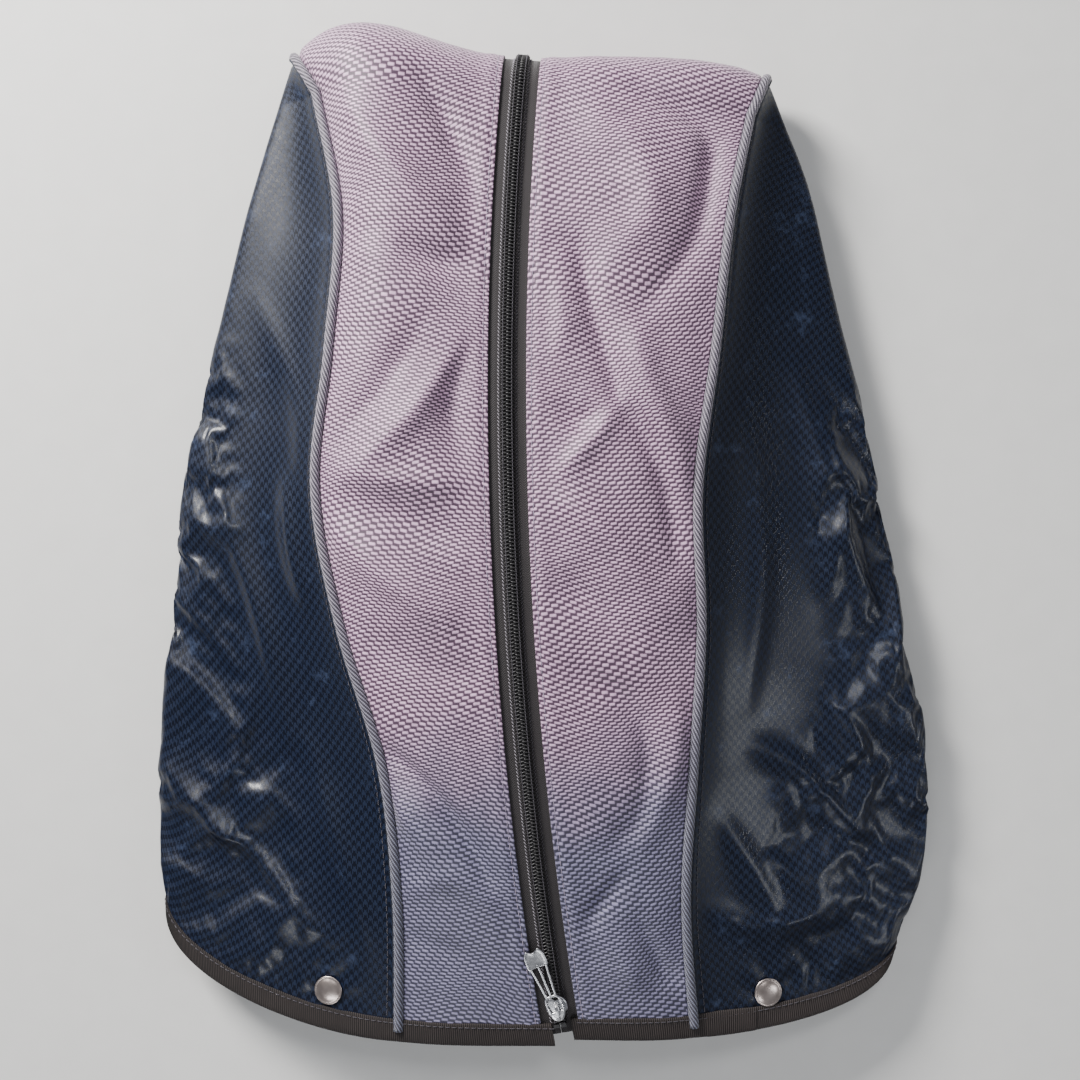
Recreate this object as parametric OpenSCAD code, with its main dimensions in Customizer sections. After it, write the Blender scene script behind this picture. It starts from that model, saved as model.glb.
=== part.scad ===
// Zip-up hood for a golf bag, lying on its back.
// +X is to the right seen from above, +Y runs from the hem to the crown, and +Z is up.
// The origin is on the ground under the middle of the hood's box. Lengths are in millimetres.

/* [Hood] */
// Width across the two side folds
hood_width = 404; // [392:1:416]
// Length from the hem to the crown
hood_length = 525; // [510:1:540]
// Height of the zip's coil above the ground at the middle of the hood
hood_height = 76; // [72:1:80]
// Where the back panel is sewn to the front panels, from the middle of the hood
crown_seam_y = 200; // [196:1:204]

/* [Fabric] */
// Thickness of the coated cloth
cloth = 1.2; // [1:0.1:1.4]
// Width of the ribbon folded over the hem
binding_w = 12; // [10:0.5:13]
// Thickness of the hem inside its folded ribbon
binding_t = 2.4; // [2:0.1:2.6]
// Diameter of the covered piping
piping_d = 5.2; // [4.8:0.1:5.4]
// Diameter of the cord inside the piping
cord_d = 3; // [2.6:0.1:3.2]

/* [Zip] */
// Width of the closed chain
chain_w = 7.3; // [7:0.1:7.5]
// Height of the coil above the tape
coil_h = 2.6; // [2.4:0.1:2.7]
// Half width of the tape that shows between the panels
zip_gap = 9.5; // [9:0.1:10]
// Half width of the whole tape
tape_half_w = 17; // [15:0.5:18]
// How far the zip bows sideways over half the hood's length
zip_bow = 17; // [15:1:19]
// How far the zip domes over half the hood's length
zip_dome = 27.5; // [26:0.5:29]
// How far the pull leans from the chain
pull_lean = 13; // [8:1:20]

/* [Snaps] */
// Diameter of a snap's cap
cap_d = 15; // [14:0.5:16]
// Diameter of the stud that clips into a snap
stud_d = 4.4; // [4:0.2:5]

/* [Hidden] */

left = -1;
right = 1;
gap = 0.4;
blade_gap = 0.4;
tape_t = 0.8;
panel_lift = 1.6;
piping_r = piping_d / 2;
piping_proud = 1;
seam_inset = piping_r + gap;

grey = [0.50, 0.49, 0.57];
navy = [0.06, 0.12, 0.25];
black = [0.06, 0.06, 0.07];
nickel = [0.78, 0.78, 0.76];
white = [0.85, 0.85, 0.83];

// Outline points are [across, along, up] in per cent of the half width, half length and height.
left_seam_points = [[-36.6, -100.4, 61], [-36.6, -72.4, 71], [-40.3, -45.7, 76], [-50.5, -19, 79],
    [-56.7, 7.6, 80], [-53.5, 34.3, 78], [-51.5, 61, 70], [-57.9, 85.7, 55]];
right_seam_points = [[38.6, -99.6, 61], [35.9, -72.4, 72], [37.6, -45.7, 79], [39.4, -19, 82],
    [38.6, 7.6, 82], [43.1, 34.3, 78], [47.3, 61, 70], [53, 81.1, 55]];
left_edge_points = [[-98.5, -78.1, 26], [-100, -56.4, 22], [-98.8, -35, 21], [-96.3, -13.3, 21],
    [-93.6, 8.4, 21], [-88.1, 30.1, 22], [-81.7, 51.8, 24], [-74, 73.1, 26], [-64.9, 94.5, 28]];
right_edge_points = [[91.1, -86.1, 26], [99.6, -64, 22], [98.9, -41.9, 21], [94.1, -19.8, 21],
    [89.6, 2.3, 21], [83.9, 24.4, 22], [76.7, 46.5, 24], [69.8, 68.6, 26], [58.4, 90.3, 28]];
left_back_points = [[-41.6, -95.2, 0], [-48.5, -30.5, 0], [-52.5, 26.7, 0], [-57.9, 85.7, 0]];
right_back_points = [[39.6, -95.2, 0], [44.6, -30.5, 0], [48.5, 26.7, 0], [53, 81.1, 0]];

// Where a seam starts to roll over the crown, as a share of its front length
roll_start = 0.94;
// How much the crown stands out between the zip and the seam, left and right
crown_bulge = [17, 4];
hem_bulge = 2;
// How round the hem's corners are, left and right
hem_round = [0.5, 0.65];
// Where the side panels stop short of their top corners
corner_stop = 0.975;

// ---- Curves ----

function mix(a, b, s) = a + (b - a) * s;

function unit(v) = v / norm(v);

function place(p) = [p.x * hood_width / 200, p.y * hood_length / 200, p.z * hood_height / 100];

// A smooth curve through the points, with s from 0 to 1.
function spline(points, s) =
    let (last = len(points) - 1,
        u = max(0, min(1, s)) * last,
        i = min(floor(u), last - 1),
        f = u - i,
        b = points[i],
        c = points[i + 1],
        a = i > 0 ? points[i - 1] : 2 * b - c,
        d = i < last - 1 ? points[i + 2] : 2 * c - b)
    (2 * b + (c - a) * f + (2 * a - 5 * b + 4 * c - d) * f * f + (3 * b - a - 3 * c + d) * f * f * f) / 2;

function bezier(a, b, c, d, s) =
    a * pow(1 - s, 3) + 3 * b * s * pow(1 - s, 2) + 3 * c * s * s * (1 - s) + d * pow(s, 3);

// ---- The zip's line: one arc in a tilted plane, then a roll over the crown ----

half_length = hood_length / 2;
zip_r = half_length * half_length / (2 * norm([zip_bow, zip_dome]));
zip_tilt = atan(zip_bow / zip_dome);
zip_middle = [-16.5, 0, hood_height - coil_h - 0.4];
bow_centre_y = 74;
dome_centre_y = -20;
zip_yaw = 2 * zip_bow * bow_centre_y / (half_length * half_length) * 180 / PI;
zip_pitch = 2 * zip_dome * dome_centre_y / (half_length * half_length) * 180 / PI;
zip_axis_turn = 90 + zip_tilt;

function turn_x(v, a) = [v.x, v.y * cos(a) - v.z * sin(a), v.y * sin(a) + v.z * cos(a)];
function turn_y(v, a) = [v.x * cos(a) + v.z * sin(a), v.y, v.z * cos(a) - v.x * sin(a)];
function turn_z(v, a) = [v.x * cos(a) - v.y * sin(a), v.x * sin(a) + v.y * cos(a), v.z];

// From the arc's own frame to the hood's.
function from_arc(v) = zip_middle + turn_z(turn_x(turn_y(v - [zip_r, 0, 0], -zip_axis_turn), zip_pitch), zip_yaw);

// A point on the zip at an angle along the arc, aside of the chain and above the tape.
function zip_point(angle, aside, up, along = 0) =
    from_arc(turn_z([zip_r, 0, 0] + turn_y([aside, along, up], zip_axis_turn), angle));

function zip_angle(y) = asin(y / zip_r);

hem_angle = zip_angle(-half_length);
roll_angle = zip_angle(227);
crown_run = 15;

// The roll over the crown is an arc about a level line across the zip.
roll_top = zip_point(roll_angle, 0, 0);
roll_tangent = unit(zip_point(roll_angle + 0.1, 0, 0) - zip_point(roll_angle - 0.1, 0, 0));
roll_up = unit(zip_point(roll_angle, 0, 10) - roll_top);
roll_across = unit(zip_point(roll_angle, 10, 0) - roll_top);
roll_slope = atan2(-roll_tangent.z, norm([roll_tangent.x, roll_tangent.y]));
roll_sweep = 180 - roll_slope;
crown_tape_z = coil_h + 0.1;
roll_r = (roll_top.z - crown_tape_z) / (1 + cos(roll_slope));

function roll_point(angle, aside, up) =
    roll_top - roll_up * roll_r + roll_across * aside
    + (roll_up * cos(angle) + roll_tangent * sin(angle)) * (roll_r + up);

function run_point(length, aside, up) =
    roll_point(roll_sweep, aside, up)
    + (roll_tangent * cos(roll_sweep) - roll_up * sin(roll_sweep)) * length;

// The zip's line from the hem at 0, over the crown from 1 to 2, to the crown seam at 3.
function zip_line(w, aside, up) =
    w <= 1 ? zip_point(mix(hem_angle, roll_angle, w), aside, up)
    : w <= 2 ? roll_point((w - 1) * roll_sweep, aside, up)
    : run_point((w - 2) * (roll_point(roll_sweep, 0, 0).y - crown_seam_y - gap), aside, up);

// ---- Seams and side folds ----

function edge_point(side, f) = place(spline(side < 0 ? left_edge_points : right_edge_points, f));

function front_points(side) = side < 0 ? left_seam_points : right_seam_points;

function back_points(side) = side < 0 ? left_back_points : right_back_points;

function seam_top(side) = place(front_points(side)[7]);

function corner(side) =
    let (e = edge_point(side, 1))
    [e.x, e.y, (seam_top(side).z + piping_r) / 2];

// One side of the seam near the corner, where it rolls over the crown.
function seam_roll(side, angle, start_z) =
    let (top = seam_top(side), end = corner(side))
    [mix(top.x, end.x, sin(angle)), mix(top.y, end.y, sin(angle)), mix(end.z, start_z, cos(angle))];

// A seam's centre line: 0 is the front hem, 1 the top corner and 2 the back hem.
function seam(side, q) =
    let (f = q <= 1 ? q : 2 - q, angle = 90 * (f - roll_start) / (1 - roll_start))
    q <= 1
    ? (f <= roll_start ? place(spline(front_points(side), f / roll_start)) : seam_roll(side, angle, seam_top(side).z))
    : (f <= roll_start ? place(spline(back_points(side), f / roll_start)) + [0, 0, piping_r]
        : seam_roll(side, angle, piping_r));

// ---- Panel surfaces ----

// The four control points of a side panel's front half and of its back half.
function side_front(side, f) =
    let (p = seam(side, f) - [0, 0, piping_proud],
        e = edge_point(side, f),
        round = hem_round[side < 0 ? 0 : 1],
        steep = mix(0.35, 0.85, min(1, f * 4)))
    [p, p + [0.42 * (e.x - p.x), 0, -steep * (p.z - e.z)], [e.x, mix(e.y, p.y, round), mix(e.z, p.z, 0.25)], e];

function side_back(side, f) =
    let (r = seam(side, 2 - f),
        base = [r.x, r.y, r.z - piping_r],
        e = edge_point(side, f))
    [e, [e.x, mix(e.y, r.y, 0.3), base.z], [mix(e.x, base.x, 0.4), mix(e.y, base.y, 0.7), base.z], base];

function curve(c, s) = bezier(c[0], c[1], c[2], c[3], s);

// A side panel across from its front seam at 0, round the fold at 1, to its back seam at 2.
function side_skin(side, s, f) =
    s < 1 ? curve(side_front(side, f), s) : curve(side_back(side, f), s - 1);

function side_panel(side, u, f) =
    let (c = side_front(side, f),
        d = side_back(side, f),
        from = seam_inset / (3 * norm(c[1] - c[0])),
        to = 2 - seam_inset / (3 * norm(d[3] - d[2])))
    side_skin(side, mix(from, to, u), f);

// The band between the zip and a seam: 0 to 1 is the front, 1 to 2 the crown, 2 to 3 the back run.
// It leaves the zip level with the tape and falls away towards the seam.
function band_turn(w) = 180 * max(0, min(1, w - 1));

function band_out(w) = [0, sin(band_turn(w)), cos(band_turn(w))];

function run_end(side) =
    let (top = seam_top(side))
    2 - roll_start * (1 - (top.y - crown_seam_y - gap) / (top.y + 0.952 * half_length));

function band_seam(side, w) =
    let (q = w <= 1 ? w * roll_start
            : w <= 2 ? mix(roll_start, 2 - roll_start, w - 1)
            : mix(2 - roll_start, run_end(side), w - 2))
    seam(side, q) - band_out(w) * mix(piping_proud, -piping_r, max(0, min(1, w - 1)));

function band_skin(side, s, w) =
    let (a = zip_line(w, side * zip_gap, panel_lift),
        b = band_seam(side, w),
        most = crown_bulge[side < 0 ? 0 : 1],
        size = w <= 1 ? mix(hem_bulge, most, w * w) : most,
        shape = 6.75 * s * s * (1 - s),
        crowning = [0, sin(band_turn(w)), max(0, cos(band_turn(w)))] * size * shape,
        levelling = band_out(w) * ((b - a) * band_out(w)) * (s * s - s))
    mix(a, b, s) + crowning + levelling;

function front_panel(side, u, w) =
    let (across = norm(band_seam(side, w) - zip_line(w, side * zip_gap, panel_lift)))
    band_skin(side, u * (1 - seam_inset / across), w);

// ---- Solids from curves ----

function skin_normal(skin, u, t) =
    let (e = 0.002)
    unit(cross(skin(u + e, t) - skin(u - e, t), skin(u, t + e) - skin(u, t - e)));

// Faces of any number of sides as fans of triangles.
function triangles(faces) = [for (f = faces, i = [1:len(f) - 2]) [f[0], f[i], f[i + 1]]];

// A sheet of even thickness. facing is 1 or -1, to point its outer side outward.
module shell(skin, us, ts, facing, thickness) {
    rows = len(ts);
    cols = len(us);
    outer = [for (t = ts, u = us) skin(u, t)];
    inner = [for (t = ts, u = us) skin(u, t) - skin_normal(skin, u, t) * facing * thickness];
    far = rows * cols;
    quads = [
        for (j = [0:rows - 2], i = [0:cols - 2])
            let (k = j * cols + i)
            each [[k, k + 1, k + cols + 1, k + cols], [far + k, far + k + cols, far + k + cols + 1, far + k + 1]],
        for (i = [0:cols - 2])
            let (k = (rows - 1) * cols + i)
            each [[i, far + i, far + i + 1, i + 1], [k, k + 1, far + k + 1, far + k]],
        for (j = [0:rows - 2])
            let (k = j * cols, m = j * cols + cols - 1)
            each [[k, k + cols, far + k + cols, far + k], [m, far + m, far + m + cols, m + cols]]
    ];
    polyhedron(concat(outer, inner), triangles([for (q = quads) facing < 0 ? q : [q[3], q[2], q[1], q[0]]]));
}

// A solid through a row of rings that all have the same number of points.
module sweep(rings) {
    sides = len(rings[0]);
    last = len(rings) - 1;
    walls = [for (j = [0:last - 1], i = [0:sides - 1])
        [j * sides + i, (j + 1) * sides + i, (j + 1) * sides + (i + 1) % sides, j * sides + (i + 1) % sides]];
    ends = [[for (i = [0:sides - 1]) i], [for (i = [sides - 1:-1:0]) last * sides + i]];
    polyhedron([for (r = rings) each r], triangles(concat(walls, ends)));
}

// Axes across a seam: along it, level across it and into the hood.
function seam_frame(side, q) =
    let (along = unit(seam(side, q + 0.004) - seam(side, q - 0.004)),
        across = unit([1, 0, 0] - along * along.x))
    [along, across, cross(along, across)];

function seam_ring(side, q, r, sides) =
    let (axes = seam_frame(side, q))
    [for (i = [0:sides - 1]) seam(side, q) + r * (axes[1] * cos(i * 360 / sides) + axes[2] * sin(i * 360 / sides))];

function tape_ring(side, q, near, wide, deep, thick) =
    let (axes = seam_frame(side, q),
        ring = [for (c = [[near, deep], [near, deep + thick], [near + wide, deep + thick], [near + wide, deep]])
            seam(side, q) - axes[1] * side * c[0] + axes[2] * c[1]])
    side < 0 ? [ring[3], ring[2], ring[1], ring[0]] : ring;

bound = binding_w / hood_length;
seam_stations = [for (i = [0:15]) mix(bound * 1.1, roll_start, i / 15),
    for (i = [1:6]) mix(roll_start, 2 - roll_start, i / 7),
    for (i = [0:10]) mix(2 - roll_start, 2 - bound * 1.2, i / 10)];

// ---- Panels ----

front_columns = [for (i = [0:5]) i / 5];
front_rows = [for (i = [0:13]) mix(bound * 1.12, 1, i / 13), for (i = [1:12]) 1 + i / 12, 2.5, 3];

module front_left_panel() {
    color(grey) shell(function (u, w) front_panel(left, u, w), front_columns, front_rows, -1, cloth);
}

module front_right_panel() {
    color(grey) shell(function (u, w) front_panel(right, u, w), front_columns, front_rows, 1, cloth);
}

module back_panel() {
    rows = [for (i = [0:10]) i / 10];
    function q(side, i) = mix(run_end(side), 2 - bound * 1.06, i);
    outline = [for (i = rows) seam(left, q(left, i)) + [seam_inset, 0, 0],
        for (i = [10:-1:0]) seam(right, q(right, i / 10)) - [seam_inset, 0, 0]];
    color(grey) linear_extrude(cloth) polygon([for (p = outline) [p.x, min(p.y, crown_seam_y - gap)]]);
}

side_columns = [for (i = [0:12]) i / 12];
side_rows = [for (i = [0:16]) mix(bound * 1.08, corner_stop, i / 16)];

module left_side_panel() {
    color(navy) shell(function (u, f) side_panel(left, u, f), side_columns, side_rows, -1, cloth);
}

module right_side_panel() {
    color(navy) shell(function (u, f) side_panel(right, u, f), side_columns, side_rows, 1, cloth);
}

// ---- Seams and hem ----

module piping(side) {
    sides = 8;
    outer = [for (q = seam_stations) seam_ring(side, q, piping_r, sides)];
    inner = [for (q = seam_stations) seam_ring(side, q, cord_d / 2 + 0.15, sides)];
    last = len(outer) - 1;
    far = len(outer) * sides;
    walls = [for (j = [0:last - 1], i = [0:sides - 1])
        let (a = j * sides + i, b = j * sides + (i + 1) % sides)
        each [[a, a + sides, b + sides, b], [far + a, far + b, far + b + sides, far + a + sides]]];
    rims = [for (i = [0:sides - 1])
        let (a = i, b = (i + 1) % sides, m = last * sides)
        each [[a, b, far + b, far + a], [m + a, far + m + a, far + m + b, m + b]]];
    polyhedron(concat([for (r = outer) each r], [for (r = inner) each r]), triangles(concat(walls, rims)));
}

module left_piping() { color(grey) piping(left); }
module right_piping() { color(grey) piping(right); }

module cord(side) {
    sweep([for (q = seam_stations) seam_ring(side, q, cord_d / 2, 8)]);
}

module left_piping_cord() { color(white) cord(left); }
module right_piping_cord() { color(white) cord(right); }

module seam_tape(side) {
    sweep([for (q = seam_stations) tape_ring(side, q, 1, 9, piping_r + 1.1, 1.4)]);
}

module left_seam_tape() { color(black) seam_tape(left); }
module right_seam_tape() { color(black) seam_tape(right); }

module crown_seam_tape() {
    half_w = 7;
    from = seam(left, run_end(left)).x + seam_inset;
    to = seam(right, run_end(right)).x - seam_inset;
    color(black) translate([from, crown_seam_y - half_w, cloth * 2 + 0.6]) cube([to - from, half_w * 2 - 1, 1.4]);
}

// A ring round the hem's ribbon, between the hem's edge and the ribbon's inner edge.
function hem_ring(skin, u, width, facing) =
    let (a = skin(u, 0), b = skin(u, width), in = skin_normal(skin, u, width) * facing * -binding_t)
    [a, b, b + in, a + in];

module hem_binding() {
    band_width = bound / roll_start;
    left_band = [for (s = [-0.07, 0.2, 0.5, 0.8, 0.96])
        hem_ring(function (u, w) band_skin(left, u, w), s, band_width, -1)];
    right_band = [for (s = [0.96, 0.8, 0.5, 0.2, -0.07])
        hem_ring(function (u, w) band_skin(right, u, w), s, band_width, 1)];
    left_side = [for (i = [0:12]) hem_ring(function (u, f) side_skin(left, u, f), 0.04 + 1.92 * i / 12, bound, -1)];
    right_side = [for (i = [12:-1:0]) hem_ring(function (u, f) side_skin(right, u, f), 0.04 + 1.92 * i / 12, bound, 1)];
    back_from = seam(left, 2);
    back_to = seam(right, 2);
    back = [for (i = [1:5])
        let (x = mix(back_from.x, back_to.x, i / 6), y = back_from.y)
        [[x, y, 0], [x, y + binding_w, 0], [x, y + binding_w, binding_t], [x, y, binding_t]]];
    color(black) sweep(concat(left_band, left_side, back, right_side, right_band));
}

// ---- Zip ----

// Moves its children to the zip at an angle: x across the chain, y towards the crown, z out of the tape.
module at_zip(angle) {
    translate(zip_middle) rotate([zip_pitch, 0, zip_yaw]) rotate([0, -zip_axis_turn, 0]) translate([-zip_r, 0, 0])
        rotate([0, 0, angle]) translate([zip_r, 0, 0]) rotate([0, zip_axis_turn, 0]) children();
}

// Sweeps a flat outline, drawn across the chain and up from the tape, along the arc.
module along_arc(from, to) {
    translate(zip_middle) rotate([zip_pitch, 0, zip_yaw]) rotate([0, -zip_axis_turn, 0]) translate([-zip_r, 0, 0])
        rotate([0, 0, from]) rotate_extrude(angle = to - from, $fn = 720)
            translate([zip_r, 0]) rotate(-zip_axis_turn) children();
}

// Carries the same outline over the crown and down the back run.
module over_crown(run) {
    at_zip(roll_angle) translate([0, 0, -roll_r]) {
        rotate([0, -90, 0]) rotate_extrude(angle = roll_sweep, $fn = 180) translate([roll_r, 0]) rotate(-90) children();
        rotate([-roll_sweep, 0, 0]) translate([0, run, roll_r]) rotate([90, 0, 0]) linear_extrude(run) children();
    }
}

tape_hem_angle = zip_angle(binding_w + 0.6 - half_length);
coil_hem_angle = zip_angle(binding_w - 1 - half_length);

module tape_outline(side) {
    translate([side < 0 ? -tape_half_w : blade_gap, -tape_t]) square([tape_half_w - blade_gap, tape_t]);
}

module zip_tape(side) {
    along_arc(tape_hem_angle, roll_angle) tape_outline(side);
    over_crown(crown_run) tape_outline(side);
}

module zip_tape_left() { color(black) zip_tape(left); }
module zip_tape_right() { color(black) zip_tape(right); }

// Half of the coil, with its outer corners cut at a slant.
module coil_outline(side) {
    half_w = chain_w / 2;
    slant = 0.8;
    scale([side, 1]) polygon([[blade_gap, 0.15], [half_w - 0.4, 0.15], [half_w, 0.6], [half_w, coil_h - slant],
        [half_w - slant, coil_h], [blade_gap, coil_h]]);
}

module zip_coil(side) {
    along_arc(coil_hem_angle, roll_angle) coil_outline(side);
    over_crown(crown_run - 5) coil_outline(side);
}

module zip_coil_left() { color(black) zip_coil(left); }
module zip_coil_right() { color(black) zip_coil(right); }

module zip_start_stop() {
    length = 2.4;
    color(nickel) at_zip(roll_angle) translate([0, 0, -roll_r]) rotate([-roll_sweep, 0, 0])
        translate([-chain_w / 2, crown_run - 5 + 0.2, roll_r + 0.2]) cube([chain_w, length, coil_h - 0.3]);
}

module zip_end_stops() {
    length = 2;
    width = 2.8;
    color(black) for (side = [left, right]) at_zip(coil_hem_angle)
        translate([side * (blade_gap + width / 2) - width / 2, -length - 0.2, 0.2]) cube([width, length, coil_h - 0.4]);
}

// ---- Slider and pull ----

slider_w = 10.8;
slider_l = 13.4;
slider_hem_y = 12.8;
plate_t = 1.3;
slider_floor = coil_h + 0.35;
slider_top = slider_floor + plate_t;
slider_angle = zip_angle(slider_hem_y + slider_l / 2 - half_length);
bridge_w = 2.2;
bridge_l = 9;
bridge_gap = 1.9;
bar_d = 1.3;
bar_up = slider_top + bridge_gap / 2;
bar_y = -0.8;

// The slider's outline: square shoulders towards the crown and a rounded tip at the hem.
module slider_outline(wide) {
    tip_r = 3.4;
    hull() {
        translate([-wide * 0.36, slider_l / 2 - 1]) square([wide * 0.72, 1]);
        translate([-wide / 2, -slider_l * 0.08]) square([wide, 2]);
        translate([0, tip_r - slider_l / 2]) circle(tip_r, $fn = 32);
    }
}

module zip_slider() {
    skirt = 1.1;
    color(nickel) at_zip(slider_angle) {
        translate([0, 0, slider_floor]) linear_extrude(plate_t) slider_outline(slider_w);
        for (side = [left, right])
            translate([side * (slider_w - skirt) / 2 - skirt / 2, -slider_l * 0.08, 0.35])
                cube([skirt, 2, slider_floor]);
        translate([0, 0, -tape_t - 0.35 - plate_t]) linear_extrude(plate_t) slider_outline(slider_w - 1.2);
        translate([-0.2, -4, -tape_t - 0.6]) cube([0.4, 6, slider_floor + tape_t + 0.8]);
    }
}

module slider_bridge() {
    leg = 1.5;
    top_t = 0.9;
    color(nickel) at_zip(slider_angle) translate([0, bar_y, 0]) {
        translate([-bridge_w / 2, -bridge_l / 2, slider_top + bridge_gap]) cube([bridge_w, bridge_l, top_t]);
        for (end = [-1, 1])
            translate([-bridge_w / 2, end * (bridge_l - leg) / 2 - leg / 2, slider_top + 0.02])
                cube([bridge_w, leg, bridge_gap + 0.2]);
    }
}

// The pull lies towards the crown. It turns about the bar at its ring end.
module zip_pull() {
    pull_t = 1.3;
    ring_w = 9;
    ring_l = 9.6;
    hole_w = 5.8;
    hole_l = 6.6;
    neck_y = ring_l - bar_d / 2;
    head_y = 26;
    tip_y = 36;
    head_half_w = 5.6;
    droop = 1.5;
    color(nickel) at_zip(slider_angle) translate([0, bar_y, bar_up]) rotate([0, 0, pull_lean]) rotate([-droop, 0, 0]) {
        rotate([0, 90, 0]) cylinder(h = ring_w - 1, d = bar_d, center = true, $fn = 32);
        translate([0, 0, -pull_t / 2]) linear_extrude(pull_t) {
            difference() {
                translate([-ring_w / 2, 0]) square([ring_w, neck_y]);
                translate([-hole_w / 2, -1]) square([hole_w, hole_l + 1 + bar_d / 2]);
            }
            for (side = [-1, 0, 1])
                polygon([[side * 2.2 - 0.6, neck_y - 0.2], [side * 2.2 + 0.6, neck_y - 0.2],
                    [side * 3.9 + 0.6, head_y + 1], [side * 3.9 - 0.6, head_y + 1]]);
            polygon([[-head_half_w, head_y - 0.5], [head_half_w, head_y - 0.5], [head_half_w - 0.4, tip_y - 3.5],
                [head_half_w - 2.6, tip_y], [0, tip_y - 2.2], [2.6 - head_half_w, tip_y], [0.4 - head_half_w, tip_y - 3.5]]);
        }
    }
}

// ---- Snaps ----

// Where each snap sits on its side panel: across from the seam, and along from the hem.
snap_place = [[0.22, 0.039], [0.265, 0.036]];

// Moves its children onto a side panel's outer face, with z out of the cloth.
module at_snap(side) {
    where = snap_place[side < 0 ? 0 : 1];
    skin = function (u, f) side_skin(side, u, f);
    out = skin_normal(skin, where[0], where[1]) * side;
    tip = acos(out.z);
    heading = atan2(out.y, out.x);
    translate(skin(where[0], where[1])) rotate([0, 0, heading]) rotate([0, tip, 0]) children();
}

module snap_cap(side) {
    rim_t = 0.9;
    dome_h = 2.2;
    r = cap_d / 2;
    at_snap(side) {
        translate([0, 0, 0.4]) rotate_extrude($fn = 64)
            polygon([[0, 0], [r - 0.5, 0], [r, rim_t / 2], [r - 0.4, rim_t], [r * 0.72, dome_h * 0.78],
                [r * 0.4, dome_h * 0.95], [0, dome_h]]);
        translate([0, 0, -cloth - 0.6]) cylinder(h = cloth + 1.2, d = 3.2, $fn = 32);
    }
}

module left_snap_cap() { color(nickel) snap_cap(left); }
module right_snap_cap() { color(nickel) snap_cap(right); }

socket_d = 12.4;
socket_t = 3.2;

// A ring-shaped socket on the inner face. The stud clips into its bore from inside the hood.
module snap_socket(side) {
    at_snap(side) translate([0, 0, -cloth - 0.8 - socket_t]) difference() {
        cylinder(h = socket_t, d = socket_d, $fn = 64);
        translate([0, 0, -1]) cylinder(h = socket_t + 2, d = stud_d, $fn = 48);
        translate([0, 0, -0.1]) rotate_extrude($fn = 64)
            polygon([[socket_d / 2 - 1.2, 0], [socket_d, 0], [socket_d, 1.3], [socket_d / 2 - 1.2, 1.3]]);
    }
}

module left_snap_socket() { color(nickel) snap_socket(left); }
module right_snap_socket() { color(nickel) snap_socket(right); }

front_left_panel();
front_right_panel();
back_panel();
left_side_panel();
right_side_panel();
left_piping();
right_piping();
left_piping_cord();
right_piping_cord();
left_seam_tape();
right_seam_tape();
crown_seam_tape();
hem_binding();
zip_tape_left();
zip_tape_right();
zip_coil_left();
zip_coil_right();
zip_start_stop();
zip_end_stops();
zip_slider();
slider_bridge();
zip_pull();
left_snap_cap();
right_snap_cap();
left_snap_socket();
right_snap_socket();
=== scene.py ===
"""A zip-up hood for a golf bag, lying on its back on a pale floor.

The shape functions work in millimetres, like the part's source, and a mesh is in metres.
A side is LEFT or RIGHT as seen from above, with the hem towards -Y and the crown towards +Y.
"""

import math

import bpy
import numpy as np
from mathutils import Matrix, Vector


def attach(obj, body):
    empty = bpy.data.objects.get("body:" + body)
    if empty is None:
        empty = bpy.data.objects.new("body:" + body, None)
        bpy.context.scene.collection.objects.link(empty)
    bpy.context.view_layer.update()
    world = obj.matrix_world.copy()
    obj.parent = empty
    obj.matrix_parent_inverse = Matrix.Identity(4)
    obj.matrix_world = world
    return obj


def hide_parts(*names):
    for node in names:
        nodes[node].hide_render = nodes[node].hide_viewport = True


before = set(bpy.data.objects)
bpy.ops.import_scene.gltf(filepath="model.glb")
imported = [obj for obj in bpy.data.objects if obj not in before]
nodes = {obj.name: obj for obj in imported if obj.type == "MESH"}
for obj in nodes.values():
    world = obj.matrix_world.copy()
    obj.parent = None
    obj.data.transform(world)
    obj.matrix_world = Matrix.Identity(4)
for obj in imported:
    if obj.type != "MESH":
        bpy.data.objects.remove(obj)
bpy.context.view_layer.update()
scene = bpy.context.scene

MM = 0.001
LEFT, RIGHT = -1, 1
SIDES = (LEFT, RIGHT)
side_name = {LEFT: "left", RIGHT: "right"}

# ---- Driving sizes, in millimetres ----

hood_width = 404.0
hood_length = 525.0
hood_height = 76.0
crown_seam_y = 200.0
binding_w = 12.0
piping_d = 5.2
coil_h = 2.6
zip_gap = 9.5
zip_bow = 17.0
zip_dome = 27.5
pull_lean = 13.0
cap_d = 15.0

piping_r = piping_d / 2
half_length = hood_length / 2
panel_lift = 1.6
piping_proud = 1.0
roll_start = 0.94
crown_bulge = {LEFT: 17.0, RIGHT: 4.0}
hem_bulge = 2.0
hem_round = {LEFT: 0.5, RIGHT: 0.65}
bound = binding_w / hood_length

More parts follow.
